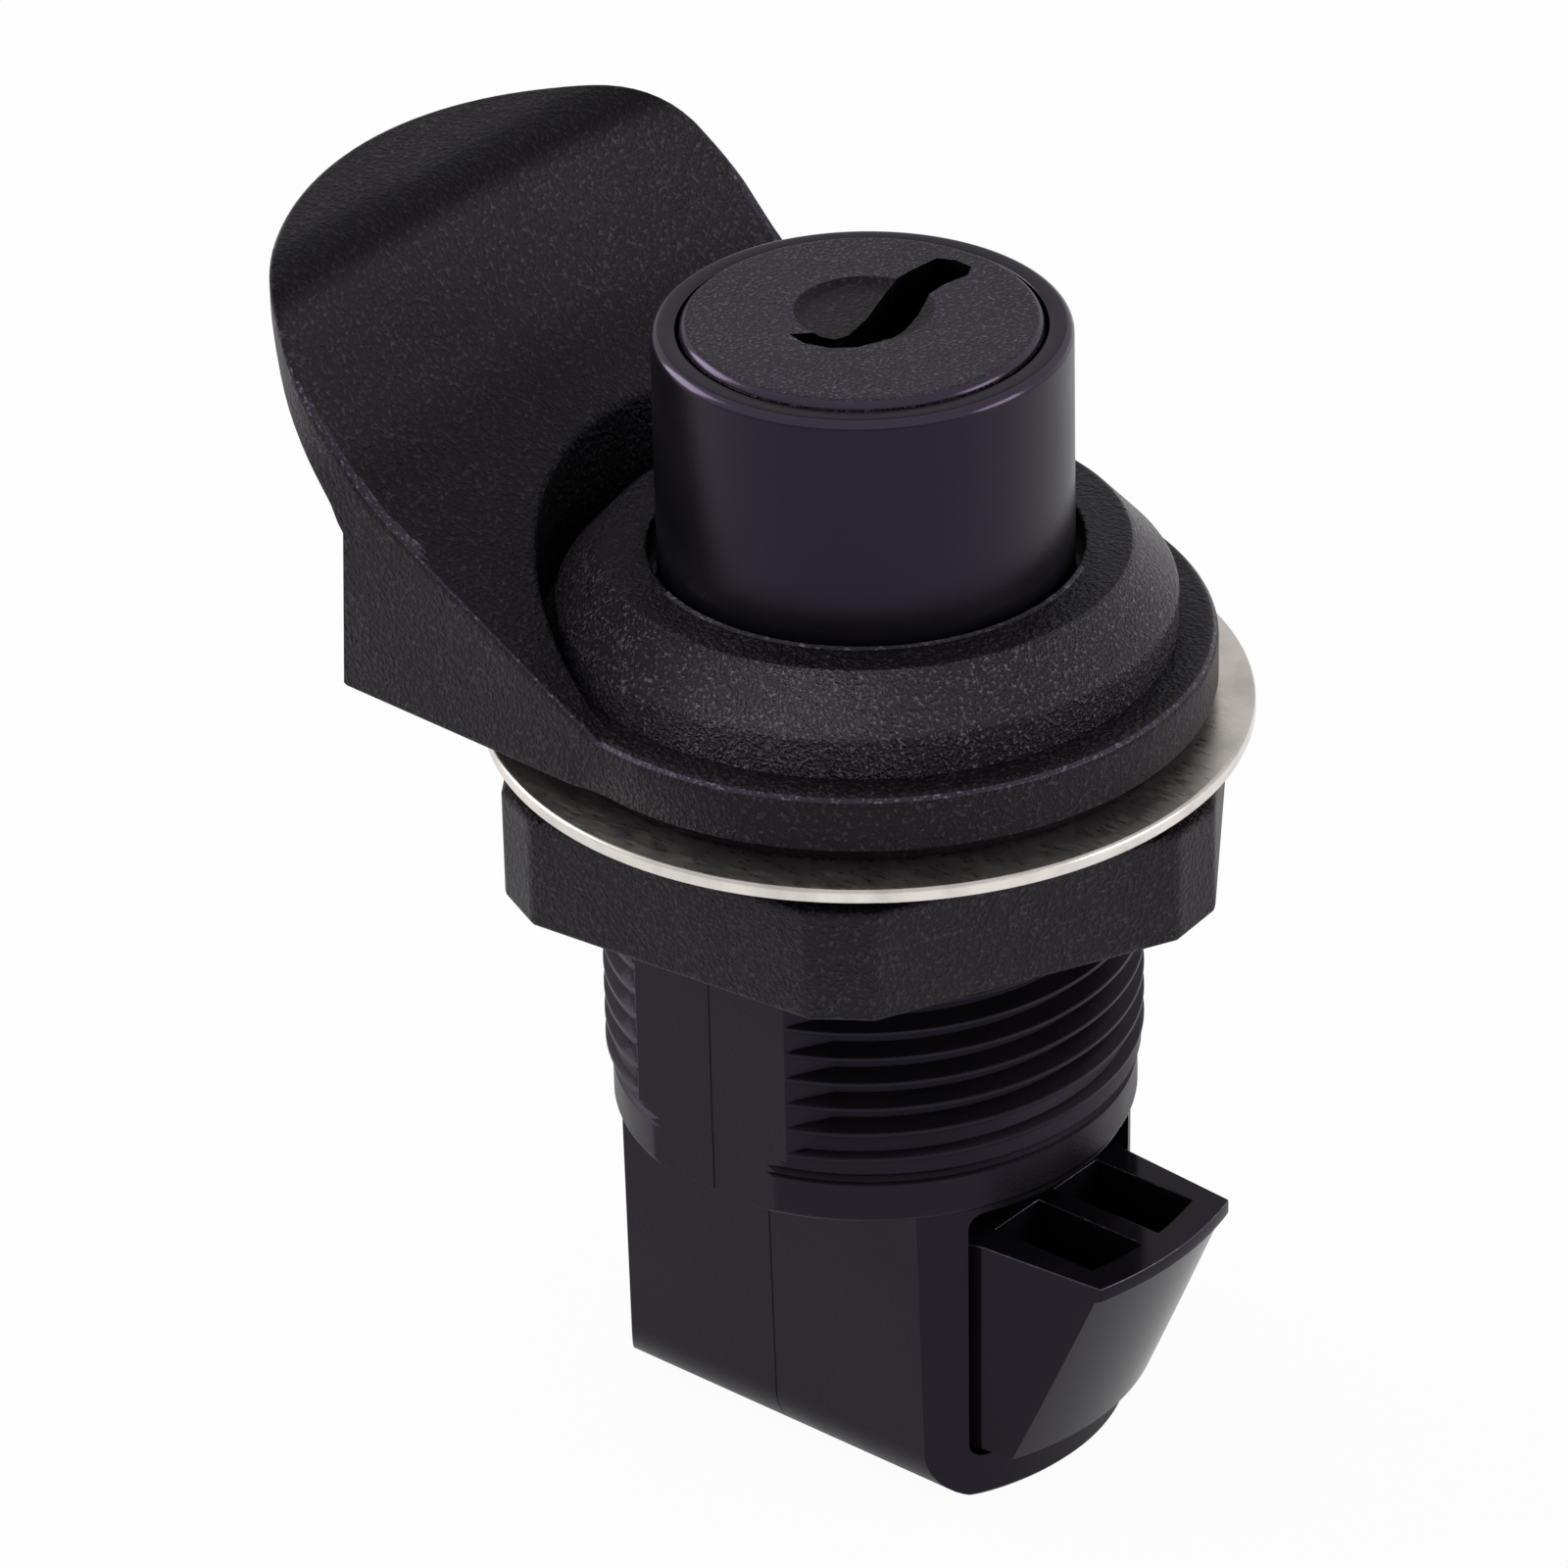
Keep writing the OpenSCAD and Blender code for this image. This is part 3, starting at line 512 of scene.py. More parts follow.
side_line = [(BACK_X * i / SIDE_STEPS, SIDE_Y + (BACK_Y - SIDE_Y) * i / SIDE_STEPS)
             for i in range(SIDE_STEPS + 1)]
lip_side = [(BACK_X - 0.45 * i, BACK_Y) for i in range(1, 3)]
knots = [Vector(p) for p in ((-21.5, BACK_Y), (-26.5, BACK_Y), (LIP_X, 9), (LIP_X, 0))]
lip_curve = []
for i in range(1, LIP_STEPS + 1):
    t = i / LIP_STEPS
    lip_curve.append(tuple(knots[0] * (1 - t) ** 3 + knots[1] * 3 * t * (1 - t) ** 2
                           + knots[2] * 3 * t * t * (1 - t) + knots[3] * t ** 3))
half = side_line + lip_side + lip_curve
outline = half + [(x, -y) for x, y in reversed(half[:-1])]
run = [0.0]
for a, b in zip(outline, outline[1:]):
    run.append(run[-1] + math.dist(a, b))
print("outline of the pull:", len(outline), "points,", round(run[-1], 1), "mm long")

# %% [markdown]
# The outline and the recess are stepped through together, so that each ring runs outwards like
# the stick of a fan. Where a ring has no lip, its points for the lip lie on one spot and are
# merged later.

# %% Rings of the pull
RECESS_R, FLANGE_R, FLANGE_T = 16.65, 17.8, 3.05
TOP_R, RECESS_EDGE_R, LIP_R, DRAFT = 0.45, 0.35, 0.5, 0.35
TOP_STEPS, UNDER_STEPS, WALL_STEPS = 28, 12, 6
QUARTER = [math.radians(18 * step) for step in range(6)]
INNER_FOOT, FOOT_EDGE, BARE_SHARE = 1.2, 0.15, 0.71

rings = []
for (x, y), length in zip(outline, run):
    bearing = math.pi * (0.5 + length / run[-1])
    c = Vector((RECESS_R * math.cos(bearing), RECESS_R * math.sin(bearing)))
    e = Vector((x, y))
    out = (e - c).normalized()
    reach = (e - c).length
    share = (BACK_X - c.x) / (e.x - c.x) if e.x < BACK_X - 1e-6 else 1.0
    wall = c + (e - c) * share
    lip = (e - wall).length

    # Out of the recess, over its edge, across the top and round the outer edge
    ring = [(c, INNER_FOOT), (c, (INNER_FOOT + top(c)) / 2)]
    for a in QUARTER:
        at = c + out * RECESS_EDGE_R * (1 - math.cos(a))
        ring.append((at, top(at) - RECESS_EDGE_R * (1 - math.sin(a))))
    for step in range(1, TOP_STEPS):
        at = c + out * (RECESS_EDGE_R + (reach - RECESS_EDGE_R - TOP_R) * step / TOP_STEPS)
        ring.append((at, top(at)))
    for a in reversed(QUARTER):
        at = e - out * TOP_R * (1 - math.cos(a))
        ring.append((at, top(at) - TOP_R * (1 - math.sin(a))))
    # Back under the lip, where there is one
    if lip > 1e-3:
        r = min(LIP_R, lip / 2)
        for a in QUARTER:
            at = e - out * r * (1 - math.cos(a))
            ring.append((at, under(at) + r * (1 - math.sin(a))))
        for step in range(1, UNDER_STEPS + 1):
            at = e - out * (r + (lip - r) * step / UNDER_STEPS)
            ring.append((at, under(at)))
        foot = under(wall)
    else:
        foot = (top(e) - TOP_R) * BARE_SHARE
        ring += [(e, foot)] * (len(QUARTER) + UNDER_STEPS)
    # Down the wall, which leans out by its draft, and back underneath
    draft = out * (DRAFT if reach > 2 else 0)
    for step in range(1, WALL_STEPS + 1):
        down = step / WALL_STEPS
        ring.append((wall + draft * down, foot * (1 - down) + FOOT_EDGE * down))
    inward = (c - wall).normalized()
    ring.append((wall + draft + inward * FOOT_EDGE, 0.0))
    ring.append((c + out * 0.4, 0.0 if reach > 2 else INNER_FOOT / 2))
    rings.append([(p.x, p.y, z) for p, z in ring])
print("rings of the pull:", len(rings), "points each:", len(rings[0]))

# %% [markdown]
# Each ring is joined to the next by four-sided faces, and the first and last ring are closed, so
# that the wall is one solid.

# %% Weave the rings into the pull
bm = bmesh.new()
loops = []
for ring in rings:
    corners = [bm.verts.new(p) for p in ring]
    loops.append([bm.edges.new((a, b)) for a, b in zip(corners, corners[1:] + corners[:1])])
for one, other in zip(loops, loops[1:]):
    for a, b in zip(one, other):
        bm.faces.new((a.verts[0], a.verts[1], b.verts[1], b.verts[0]))
for end in (loops[0], loops[-1]):
    bm.faces.new([e.verts[0] for e in end])
tidy(bm)
pull = block(bm)
print("faces of the pull's wall:", len(pull.data.polygons))

# %% [markdown]
# The bezel flange is turned on a lathe and joined to the pull. Underneath, the thick foot of the
# ramp is cored out so that the wall stays even and doesn't sink: three ribs stand between the
# pockets. The hole has two flats, which keep the latch from turning in its panel.

# %% Flange, pockets and hole
FLANGE_ROUND, FLANGE_IN = 0.65, 10
flange = [(FLANGE_IN, 0), (FLANGE_R - 0.2, 0)] + arc((FLANGE_R - 0.2, 0.2), 0.2, -90, 0, 4)
flange += arc((FLANGE_R - FLANGE_ROUND, FLANGE_T - FLANGE_ROUND), FLANGE_ROUND, 0, 90, 8)
flange += [(FLANGE_IN, FLANGE_T)]
combine(pull, block(lathe(flange, 240)), "UNION")

HOLE_R, HOLE_FLAT = 14.05, 13.15
hole = rod(HOLE_R, -1, 5)
flats(hole, HOLE_FLAT)
combine(pull, block(hole), "DIFFERENCE")

POCKET_H, POCKET_BACK, POCKET_FRONT, POCKET_IN_R = 4.5, -18.6, -8, 17.7
POCKET_SPANS = ((-14.9, -9.05), (-7.85, -0.6), (0.6, 7.85), (9.05, 14.9))
for low, high in POCKET_SPANS:
    pocket = prism([(POCKET_BACK, low), (POCKET_BACK, high), (POCKET_FRONT, high),
                    (POCKET_FRONT, low)], -1, POCKET_H)
    soften(pocket, 0.5, 3)
    tool = block(pocket)
    combine(tool, block(rod(POCKET_IN_R, -2, 9)), "DIFFERENCE")
    combine(pull, tool, "DIFFERENCE")
# The pull takes the nylon with painted bands of light and shade
finish_piece(pull, "finger_pull", "housing", "textured_black", pull_painted_bands, "pull_bezel")
LIP_FRONT = -29
# Pale lines on the flange's top edge, the pull's sides and its lip: partly wear, partly painted
# highlight
dress(pull, edge_wear_and_highlight, lambda at, reach, up: 0.5 < up.z < 0.88 and at.z > FLANGE_T - 0.5 and (
    reach > FLANGE_R - 0.5 and at.z < FLANGE_T or abs(at.y) > BACK_Y - 0.6 or at.x < LIP_FRONT))

# %% [markdown]
# ## The threaded barrel
#
# The thread is 28 mm across with a pitch of 1.5 mm. A screw is a spin with a rise: a zigzag of
# crests is spun once round while it climbs by one pitch, so that its end meets its own next
# tooth. Both flats cut the crests off. Beside each flat the groove ends against a slanted wall,
# because the two halves of the mould must part, and this gives the row of small arrow tips.

# %% Screw thread
THREAD_R, PITCH, ROOT_DEPTH = 14.0, 1.5, 0.85
THREAD_TOP, THREAD_FOOT, THREAD_FLAT = 0.4, -20.9, 13.1
WALL_CORNER, WALL_INNER = (4.92, 13.11), (7.6, 10.43)


def screw(radius, low, high, depth=ROOT_DEPTH, steps=144):
    """Solid threaded rod with rounded crests between two heights."""
    bm = bmesh.new()
    tooth = [(0.0, depth), (0.16, depth), (0.58, 0.07), (0.66, 0.0), (0.84, 0.0), (0.92, 0.07),
             (1.34, depth)]
    chain, z = [], low - 2 * PITCH
    while z < high + PITCH:
        chain += [bm.verts.new((radius - d, 0, z + h)) for h, d in tooth]
        z += PITCH
    chain.append(bm.verts.new((radius - depth, 0, z)))
    edges = [bm.edges.new(pair) for pair in zip(chain, chain[1:])]
    bmesh.ops.spin(bm, geom=chain + edges, axis=(0, 0, 1), cent=(0, 0, 0), angle=2 * math.pi,
                   steps=steps, dvec=(0, 0, PITCH / steps), use_merge=False)
    bmesh.ops.remove_doubles(bm, verts=bm.verts, dist=1e-3)
    trim(bm, (0, 0, high), (0, 0, 1))
    trim(bm, (0, 0, low), (0, 0, -1))
    return bm


barrel = screw(THREAD_R, THREAD_FOOT, THREAD_TOP)
flats(barrel, THREAD_FLAT)
barrel = block(barrel)
walls = [(sx * p[0], sy * p[1]) for sx, sy, p in (
    (1, -1, WALL_CORNER), (1, -1, WALL_INNER), (1, 1, WALL_INNER), (1, 1, WALL_CORNER),
    (-1, 1, WALL_CORNER), (-1, 1, WALL_INNER), (-1, -1, WALL_INNER), (-1, -1, WALL_CORNER))]
combine(barrel, block(prism(walls, THREAD_FOOT + 0.02, THREAD_TOP - 0.02)), "UNION")
print("thread crests:", int((THREAD_TOP - THREAD_FOOT) / PITCH))

# %% [markdown]
# Above the thread sits the collar with its coarse bevel and below it a plain neck. The collar is
# turned with the small burr round its hole. The neck is turned too, with the uneven rings where
# the thread runs out, and given its flats.

# %% Collar and neck
BORE_R, COLLAR_IN = 11.05, 6
COLLAR_R, COLLAR_TOP_R, COLLAR_FOOT, COLLAR_SIDE, COLLAR_TOP = 15.8, 13.45, 2.7, 5.25, 7.9
collar = [(COLLAR_IN, COLLAR_FOOT), (COLLAR_R - 0.05, COLLAR_FOOT), (COLLAR_R, COLLAR_FOOT + 0.4)]
collar += [(COLLAR_R, COLLAR_SIDE - 0.2), (COLLAR_R - 0.05, COLLAR_SIDE),
           (COLLAR_R - 0.18, COLLAR_SIDE + 0.2), (COLLAR_TOP_R + 0.16, COLLAR_TOP - 0.18),
           (COLLAR_TOP_R, COLLAR_TOP - 0.05), (COLLAR_TOP_R - 0.2, COLLAR_TOP),
           (BORE_R + 0.42, COLLAR_TOP)]
collar += arc((BORE_R + 0.2, COLLAR_TOP - 0.15), 0.2, 90, 180, 4)
collar += [(BORE_R, 6.5), (COLLAR_IN, 6.5)]

NECK_R, NECK_FLAT, NECK_FOOT, FOOT_Z = 13.65, 13.08, -24.4, -42.39
neck = lathe([(0, NECK_FOOT), (NECK_R - 0.35, NECK_FOOT)] +
             arc((NECK_R - 0.35, NECK_FOOT + 0.35), 0.35, -90, 0, 4) +
             [(NECK_R, THREAD_FOOT - 1.2), (NECK_R - 0.12, THREAD_FOOT - 1.1),
              (NECK_R + 0.08, THREAD_FOOT - 0.85), (NECK_R - 0.1, THREAD_FOOT - 0.65),
              (NECK_R + 0.2, THREAD_FOOT - 0.35), (THREAD_R - 0.25, THREAD_FOOT + 0.3),
              (THREAD_R - ROOT_DEPTH, THREAD_FOOT + 2.6), (0, THREAD_FOOT + 2.6)])
flats(neck, NECK_FLAT)
soften(neck, 0.3, 3, lambda e: min(abs(v.co.y) for v in e.verts) > 13
       and max(v.co.z for v in e.verts) < NECK_FOOT + 0.4)
print("points of the collar:", len(collar), "faces of the neck:", len(neck.faces))

# %% [markdown]
# The flat housing of the bolt is a rounded section crossed with a turned cone. All three are
# joined to the barrel, because the real part is one moulding.

# %% Housing
HOUSING_HALF, HOUSING_FOOT_HALF, HOUSING_TOP, FOOT_ROUND = 8.9, 8.6, NECK_FOOT + 0.6, 3.3
HOUSING_R, HOUSING_FOOT_R = 13.3, 13.15
section = [(HOUSING_HALF, HOUSING_TOP)]
section += arc((HOUSING_FOOT_HALF - FOOT_ROUND, FOOT_Z + FOOT_ROUND), FOOT_ROUND, 0, -90, 12)
section += [(-y, z) for y, z in reversed(section)]
housing = prism(section, -20, 20)
# The section was drawn in Y and Z but grown upwards: this turns it to lie along X
bmesh.ops.rotate(housing, verts=housing.verts, cent=(0, 0, 0), matrix=Matrix(
    ((0, 0, 1), (1, 0, 0), (0, 1, 0))))
housing = block(housing)
combine(housing, block(lathe([(0, FOOT_Z), (HOUSING_FOOT_R - 0.3, FOOT_Z),
                              (HOUSING_FOOT_R, FOOT_Z + 0.3), (HOUSING_R, HOUSING_TOP),
                              (0, HOUSING_TOP)])), "INTERSECT")
reshape(housing, lambda bm: soften(
    bm, 0.9, 4, lambda e: min(abs(v.co.y) for v in e.verts) > 5 and
    abs(e.verts[0].co.x) > 8 and max(v.co.z for v in e.verts) < NECK_FOOT + 0.5, 30))
for part in (block(lathe(collar)), block(neck), housing):
    combine(barrel, part, "UNION")
print("faces of barrel, collar, neck and housing:", len(barrel.data.polygons))

# %% [markdown]
# Then the hollows are cut: the bore of the button with the groove of its retaining ring, the
# channel of the bolt and the slot of the plunger's nose. The line where the mould's halves met is
# too fine to cut, so it is drawn by the material.

# %% Hollows
FLOOR_TOP, GUIDE_BORE_R, RING_R, RING_FOOT, RING_TOP = -21.4, 11.2, 12.3, 4.55, 5.55
bore = [(0, FLOOR_TOP), (GUIDE_BORE_R, FLOOR_TOP), (GUIDE_BORE_R, RING_FOOT),
        (RING_R, RING_FOOT), (RING_R, RING_TOP), (BORE_R, RING_TOP), (BORE_R, 12), (0, 12)]
combine(barrel, block(lathe(bore)), "DIFFERENCE")

ROOF, CHANNEL_FLOOR, CHANNEL_HALF, CHANNEL_BACK_R = -24.8, -39.8, 6.65, 11.7
channel = prism([(-CHANNEL_BACK_R, -CHANNEL_HALF), (30, -CHANNEL_HALF), (30, CHANNEL_HALF),
                 (-CHANNEL_BACK_R, CHANNEL_HALF)], CHANNEL_FLOOR, ROOF)
soften(channel, 0.8, 4, lambda e: abs(e.verts[0].co.x - e.verts[1].co.x) > 20)
front = block(prism([(0, -9), (31, -9), (31, 9), (0, 9)], CHANNEL_FLOOR - 0.9, ROOF + 0.9))
combine(front, block(rod(CHANNEL_BACK_R, ROOF + 1, CHANNEL_FLOOR - 1)), "UNION")
channel = block(channel)
combine(channel, front, "INTERSECT")
combine(barrel, channel, "DIFFERENCE")

SLOT_BACK, SLOT_FRONT, SLOT_HALF = -4.3, 3.3, 2.8
combine(barrel, block(prism([(SLOT_BACK, -SLOT_HALF), (SLOT_FRONT, -SLOT_HALF),
                             (SLOT_FRONT, SLOT_HALF), (SLOT_BACK, SLOT_HALF)],
                            ROOF - 1, FLOOR_TOP + 1)), "DIFFERENCE")
finish_piece(barrel, "threaded_barrel", "housing", "satin_black", satin, "barrel_body")

# %% [markdown]
# The collar's bevel is the brightest texture of the latch: its stretch of the mould was eroded
# with a coarser spark, and its pale grain tips are painted sparkle. The flat top ring is left
# darker as painted shade. Round the hole, the burr is painted pale on the side towards the bolt,
# as its highlight.

# %% Texture of the collar
BEVEL_FROM = COLLAR_FOOT - 0.1
# Painted shade: the flat top ring keeps the darker eroded finish, and bevel and side take the
# coarse one with its painted sparkle
dress(barrel, eroded, lambda at, reach, up: at.z > BEVEL_FROM and reach > BORE_R + 0.05)
dress(barrel, coarse,
      lambda at, reach, up: at.z > BEVEL_FROM and reach > COLLAR_TOP_R and up.z < 0.95)
# Painted highlight: the burr pale only on its front half
dress(barrel, painted_burr_highlight, lambda at, reach, up: at.z > COLLAR_TOP - 0.18 and reach < BORE_R + 0.45 and
      at.x > at.y + 6)

# %% [markdown]
# ## The nut, the washer and the gasket
#
# The nut is a hexagon with its corners cut flat and rounded edges. Its hole is plain and just
# wider than the barrel's crests, with a countersink at both ends, because the thread inside it
# can't be seen.

# %% Nut
NUT_TOP, NUT_FOOT, ACROSS, OVER_CORNERS, NUT_TURN = -2.35, -8.55, 36.0, 39.6, -24.9
NUT_BORE_R, SINK_R = 14.08, 15.0
corner_r = ACROSS / 2 / math.cos(math.pi / 6)
nut = bmesh.new()
bmesh.ops.create_cone(nut, cap_ends=True, segments=6, radius1=corner_r, radius2=corner_r,
                      depth=NUT_TOP - NUT_FOOT)
bmesh.ops.rotate(nut, verts=nut.verts, cent=(0, 0, 0),
                 matrix=Matrix.Rotation(math.radians(NUT_TURN), 3, "Z"))
bmesh.ops.translate(nut, verts=nut.verts, vec=(0, 0, (NUT_TOP + NUT_FOOT) / 2))
for k in range(6):
    a = math.radians(NUT_TURN + 30 + 60 * k)
    facing = (math.cos(a), math.sin(a), 0)
    trim(nut, [OVER_CORNERS / 2 * v for v in facing], facing)
soften(nut, 0.3, 3, degrees=20)
nut = block(nut)
combine(nut, block(lathe([(0, NUT_FOOT - 1), (SINK_R, NUT_FOOT - 1), (NUT_BORE_R, NUT_FOOT + 0.5),
                          (NUT_BORE_R, NUT_TOP - 0.5), (SINK_R, NUT_TOP + 1), (0, NUT_TOP + 1)])),
        "DIFFERENCE")
finish_piece(nut, "panel_nut", "housing", "textured_black", eroded, "hex_nut", sharp=40)

# %% [markdown]
# The washer is punched from sheet: the die rounds its upper edges more than the lower one. The
# gasket is a plain rubber ring, set back under the flange.

# %% Washer and gasket
WASHER_TOP, WASHER_T, WASHER_R, WASHER_IN = -1.05, 0.75, 19.69, 14.3
washer = [(WASHER_IN, WASHER_TOP - WASHER_T), (WASHER_R - 0.12, WASHER_TOP - WASHER_T)]
washer += arc((WASHER_R - 0.12, WASHER_TOP - WASHER_T + 0.12), 0.12, -90, 0, 4)
washer += arc((WASHER_R - 0.2, WASHER_TOP - 0.2), 0.2, 0, 90, 5)
washer += arc((WASHER_IN + 0.2, WASHER_TOP - 0.2), 0.2, 90, 180, 4)
finish_piece(block(lathe(washer, 240)), "punched_washer", "housing", "stainless", stainless,
             "steel_washer")

GASKET_IN, GASKET_RIM, GASKET_T = 14.12, 16.6, 1.0
gasket = [(GASKET_IN, -GASKET_T), (GASKET_RIM, -GASKET_T)]
gasket += arc((GASKET_RIM, 0.2 - GASKET_T), 0.2, -90, 0, 3)
gasket += arc((GASKET_RIM, -0.2), 0.2, 0, 90, 3) + [(GASKET_IN, 0.0)]
finish_piece(block(lathe(gasket)), "rubber_gasket", "housing", "soft_rubber", rubber,
             "panel_gasket")

# %% [markdown]
# ## The button
#
# The button is a plain sleeve with a rounded rim. Its foot is wider, and slides in the bore. It is
# turned in one go from its closed profile, with the groove for its rubber seal. The lathe gives
# its long soft highlight without facets.

# %% Button sleeve
BUTTON_TOP, BUTTON_R, SHELL_R = 20.1, 10.58, 9.3
GUIDE_R, GUIDE_TOP, GUIDE_FOOT = 11.0, 4.45, -0.35
GROOVE_R, GROOVE_FOOT, GROOVE_TOP = 9.38, 0.95, 2.75
sleeve = [(SHELL_R, GUIDE_FOOT), (GUIDE_R - 0.2, GUIDE_FOOT), (GUIDE_R, GUIDE_FOOT + 0.2)]
sleeve += [(GUIDE_R, GROOVE_FOOT), (GROOVE_R, GROOVE_FOOT), (GROOVE_R, GROOVE_TOP),
           (GUIDE_R, GROOVE_TOP)]
sleeve += arc((GUIDE_R - 0.3, GUIDE_TOP - 0.3), 0.3, 0, 90, 3) + [(BUTTON_R, GUIDE_TOP)]
sleeve += arc((BUTTON_R - 0.55, BUTTON_TOP - 0.55), 0.55, 0, 90, 9)
sleeve += arc((SHELL_R + 0.15, BUTTON_TOP - 0.15), 0.15, 90, 180, 3)
button = finish_piece(block(lathe(sleeve, 200)), "button_shell", "button", "smooth_black",
                      smooth, "button_sleeve")
# The rim's rounding: glossier, with a paler base as painted highlight
dress(button, polished, lambda at, reach, up: at.z > BUTTON_TOP - 0.35 and 0.3 < up.z < 0.93)

# %% [markdown]
# ## The lock's plug
#
# The plug's face is a coarse textured disc whose glossier rim has a paler base as painted
# highlight. A shallow round dimple leads the key, and the keyway is cut through it as a slanted S,
# with painted shade inside. The face is turned and cut here, and the core below it is a copy of
# the CAD node, cut off under the face, because its slots are already right.

# %% Lock plug
FACE_TOP, FACE_R, FACE_FOOT = 20.45, 9.12, 17.25
DIMPLE, DIMPLE_R, DIMPLE_FLOOR = (-0.5, 0.8), 3.55, FACE_TOP - 0.25
KEYWAY = [(-1.7, -3.6), (-0.9, -2.8), (0.1, -2.4), (0.4, -1.6), (0, 0.4), (-0.8, 2.5),
          (-1.25, 3.8), (-1.3, 5.4), (-1.1, 7.3), (-0.2, 7.7), (0.9, 7.6), (1.3, 6.8), (1, 5.2),
          (1.1, 3.8), (1.8, 2.2), (2.3, 0.6), (2.4, -1.4), (1.9, -2.6), (0.9, -3.5), (-0.5, -3.9)]
bm = bmesh.new()
bm.from_mesh(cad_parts["lock_plug"].data)
bmesh.ops.scale(bm, vec=(1 / MM, 1 / MM, 1 / MM), verts=bm.verts)
bmesh.ops.remove_doubles(bm, verts=bm.verts, dist=1e-3)
trim(bm, (0, 0, FACE_FOOT + 0.3), (0, 0, 1))
lock = block(bm)
disc = [(0, FACE_FOOT), (FACE_R - 0.1, FACE_FOOT), (FACE_R, FACE_FOOT + 0.1)]
disc += arc((FACE_R - 0.5, FACE_TOP - 0.5), 0.5, 0, 90, 7) + [(0, FACE_TOP)]
combine(lock, block(lathe(disc, 180)), "UNION")
bowl = lathe([(0, DIMPLE_FLOOR), (DIMPLE_R - 0.4, DIMPLE_FLOOR),
              (DIMPLE_R - 0.12, FACE_TOP - 0.16), (DIMPLE_R, FACE_TOP), (DIMPLE_R, FACE_TOP + 1),
              (0, FACE_TOP + 1)], 96)
bmesh.ops.translate(bowl, verts=bowl.verts, vec=(*DIMPLE, 0))
combine(lock, block(bowl), "DIFFERENCE")
combine(lock, block(prism(KEYWAY, FACE_FOOT + 0.5, FACE_TOP + 1)), "DIFFERENCE")
finish_piece(lock, "lock_face", "plug", "textured_black", face_pale, "lock_plug")
# Painted shade on the keyway's walls and all below the face, then the dimple, and last
# the disc's rim with its painted highlight
dress(lock, keyway_painted_shade,
      lambda at, reach, up: up.z < 0.5 and at.xy.length < 8.2 or at.z < FACE_TOP - 0.6)
dress(lock, eroded, lambda at, reach, up: reach < 6 and FACE_TOP - 0.5 < at.z < FACE_TOP - 0.05)
dress(lock, polished, lambda at, reach, up: reach > FACE_R - 0.45 and 0.2 < up.z < 0.9)

# %% [markdown]
# ## The bolt
#
# The bolt's nose is part of a cone about the barrel's axis, so the door can slam it in from any
# height. A turned cone is crossed with the bolt's outline and the two pockets are cut. Every edge
# is rounded, because a polished moulding shows each rounding as a bright line.

# %% Slam bolt
BOLT_TOP, BOLT_FOOT, REACH, BOLT_HALF, TIP_HALF = -26.9, -39.45, 19.8, 6.35, 5.3
BOLT_BACK, STEP_X, STEP_HALF, CONE_FOOT_R, LIP_T = -3.5, 10.8, 5.95, 14.7, 1.0
shape = [(BOLT_BACK, -BOLT_HALF), (STEP_X, -BOLT_HALF), (STEP_X + 1, -STEP_HALF),
         (REACH + 1, -TIP_HALF + 0.08)]
shape += [(x, -y) for x, y in reversed(shape)]
bolt = block(prism(shape, BOLT_FOOT, BOLT_TOP))
nose = [(0, BOLT_FOOT - 1), (CONE_FOOT_R - 0.4, BOLT_FOOT - 1), (CONE_FOOT_R, BOLT_FOOT),
        (REACH - 0.4, BOLT_TOP - LIP_T), (REACH, BOLT_TOP - LIP_T + 0.2), (REACH, BOLT_TOP + 1),
        (0, BOLT_TOP + 1)]
combine(bolt, block(lathe(nose, 200)), "INTERSECT")

POCKET_X, POCKET_NEAR, POCKET_FAR = 11.3, 0.65, 4.2
POCKET_DEPTH, POCKET_WALL, POCKET_FOOT_R = 5.5, 1.7, 12.8
for side in (-1, 1):
    pocket = block(prism([(POCKET_X, side * POCKET_NEAR), (REACH, side * POCKET_NEAR),
                          (REACH, side * POCKET_FAR), (POCKET_X, side * POCKET_FAR)],
                         BOLT_TOP - POCKET_DEPTH, BOLT_TOP + 1))
    combine(pocket, block(lathe([
        (0, BOLT_FOOT - 1), (POCKET_FOOT_R - 0.4, BOLT_FOOT - 1), (POCKET_FOOT_R, BOLT_FOOT),
        (REACH - POCKET_WALL, BOLT_TOP - 0.6), (REACH - POCKET_WALL, BOLT_TOP + 2),
        (0, BOLT_TOP + 2)])), "INTERSECT")
    combine(bolt, pocket, "DIFFERENCE")
reshape(bolt, lambda bm: bmesh.ops.dissolve_limit(
    bm, angle_limit=math.radians(0.5), verts=bm.verts, edges=bm.edges),
    lambda bm: soften(bm, 0.3, 4))
print("faces of the bolt without its window:", len(bolt.data.polygons))

# %% [markdown]
# The plunger's nose drives the bolt through a window. The window's back lies on the 45 degree
# line x = DRIVE - z, less the play.

# %% Window of the bolt
WINDOW_FRONT, WINDOW_HALF, WINDOW_TOP, WINDOW_FOOT = 9.5, 2.8, -24.6, -38.0
DRIVE, PLAY = -28.5, 0.15
window = [(DRIVE - WINDOW_TOP - PLAY, WINDOW_TOP), (WINDOW_FRONT, WINDOW_TOP),
          (WINDOW_FRONT, WINDOW_FOOT), (DRIVE - WINDOW_FOOT - PLAY, WINDOW_FOOT)]
combine(bolt, block(grow([(x, -WINDOW_HALF, z) for x, z in window], (0, 2 * WINDOW_HALF, 0))),
        "DIFFERENCE")
finish_piece(bolt, "slam_bolt", "bolt", "gloss_black", gloss, "bolt", sharp=40)
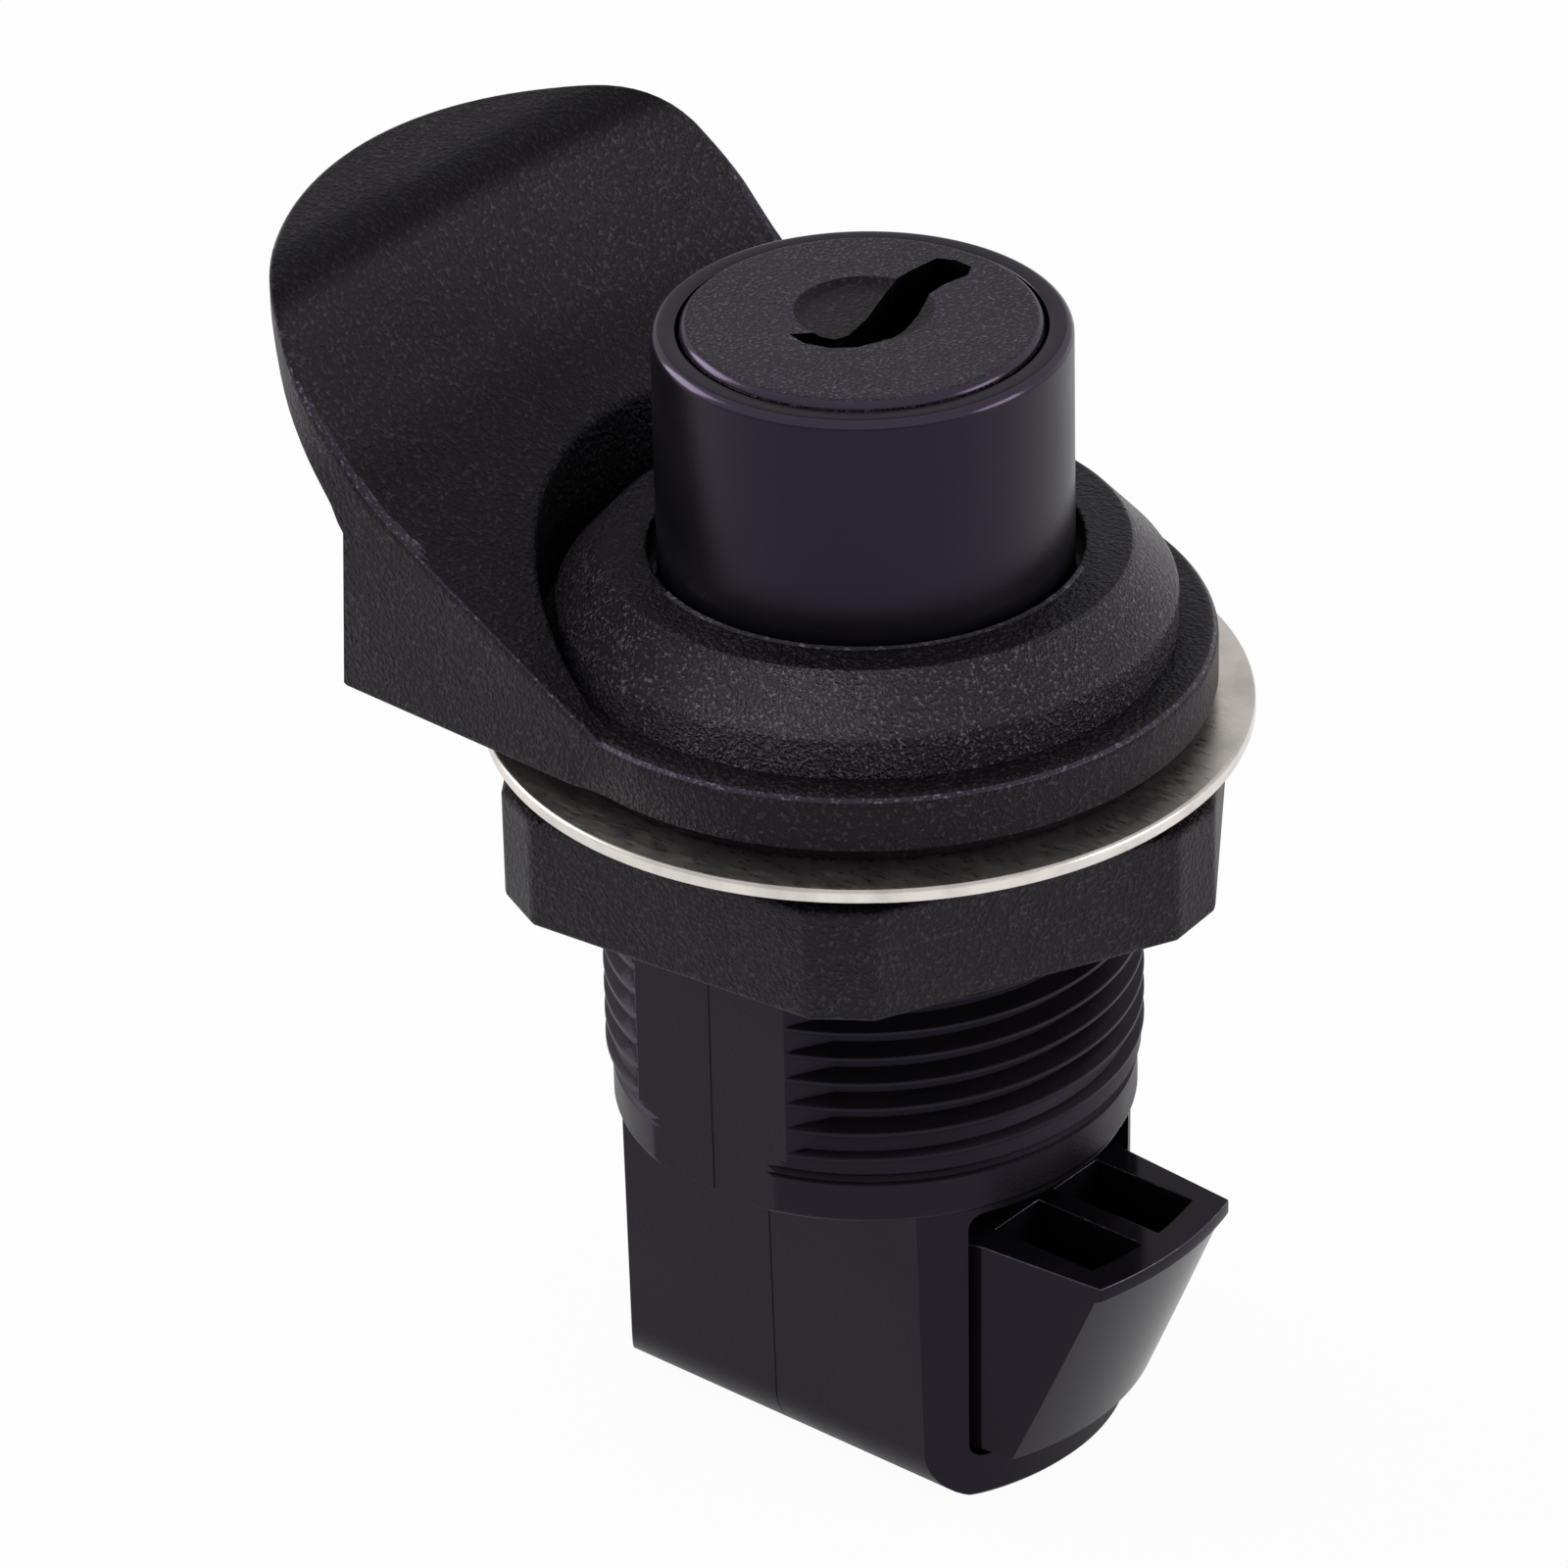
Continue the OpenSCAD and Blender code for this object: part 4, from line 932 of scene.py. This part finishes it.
# Painted highlight on the rounded top edges of lip and pockets
dress(bolt, lip_painted_highlight, lambda at, reach, up: at.z > BOLT_TOP - 0.4 and 0.1 < up.z < 0.98)

# %% [markdown]
# ## Finishes of the other nodes
#
# The parts inside keep their CAD shapes, which are already right, and each gets the finish of its
# own trade: die-cast zinc, stamped brass, drawn spring wire.

# %% Materials of the CAD nodes
finishes = {
    rubber: ["button_seal"], inner_nylon: ["plunger"],
    die_cast: ["cylinder_shell", "locking_cam"],
    plated: ["shell_pin", "cam_screw", "plunger_screws"],
    sprung: ["button_spring", "bolt_spring", "wafer_springs", "retaining_ring", "plug_clip"],
    brass: ["wafer_set"]}
for finish, names in finishes.items():
    for name in names:
        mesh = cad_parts[name].data
        mesh.materials.clear()
        mesh.materials.append(finish)
    print(finish.name, "on", ", ".join(names))

# %% [markdown]
# ## Table and light
#
# The latch stands on a white table that fills the picture, so the table's colour is the
# background. Seen straight, nearly all of its white is its own, and the little that is lit leaves
# a faint shadow at the foot. In a reflection half of it is its own. Making it white with more
# light would wash out the black nylon. It lies a hair below the foot, so that no face of the two
# lies in the same plane.

# %% Table
TABLE_HALF, TABLE_GAP = 3, 0.03
OWN_SEEN, OWN_MIRRORED = 0.96, 0.5
bm = bmesh.new()
bmesh.ops.create_grid(bm, x_segments=2, y_segments=2, size=TABLE_HALF)
bmesh.ops.translate(bm, verts=bm.verts, vec=(0, 0, (FOOT_Z - TABLE_GAP) * MM))
table = block(bm, "table")
# Matt white paper
paper, tree, lit = fresh("white_paper")
lit.inputs["Base Color"].default_value = linear("#f4f4f4")
lit.inputs["Roughness"].default_value = 0.9
path = add(tree, "LightPath")
mirrored = add(tree, "Math", {0: path.outputs["Is Glossy Ray"], 1: OWN_MIRRORED},
               operation="MULTIPLY")
share = add(tree, "Math", {0: path.outputs["Is Camera Ray"], 1: OWN_SEEN,
                           2: mirrored.outputs[0]}, operation="MULTIPLY_ADD")
own = add(tree, "Emission", {"Color": linear("#ffffff"), "Strength": 1.0})
both = add(tree, "MixShader", {0: share.outputs[0], 1: lit.outputs[0], 2: own.outputs[0]})
tree.links.new(both.outputs[0], tree.nodes["Material Output"].inputs[0])
table.data.materials.append(paper)
print("table at", round(FOOT_Z - TABLE_GAP, 2), "mm")

# %% [markdown]
# The room is dim, as the photograph's top faces show. A large soft lamp on the left gives the
# black mouldings their long highlights, and a weaker one on the right lights the bolt's nose.

# %% World and lamps
ROOM = 0.5
world = bpy.data.worlds.new("studio")
bpy.context.scene.world = world
world.use_nodes = True
sky = world.node_tree.nodes["Background"]
sky.inputs["Color"].default_value = linear("#ffffff")
sky.inputs["Strength"].default_value = ROOM


def lamp(name, spot, aim, size, power):
    """Square soft light at one place, turned to another, in metres and watts."""
    made = put(name, bpy.data.lights.new(name, "AREA"))
    made.data.shape, made.data.size, made.data.energy = "SQUARE", size, power
    made.location = spot
    made.rotation_euler = (Vector(aim) - Vector(spot)).to_track_quat("-Z", "Y").to_euler()


lamp("left_softbox", (-0.75, -0.25, 0.35), (0, 0, 0), 0.5, 2.4)
lamp("right_softbox", (0.75, 0.35, 0.15), (0, 0, -0.01), 0.4, 1.4)
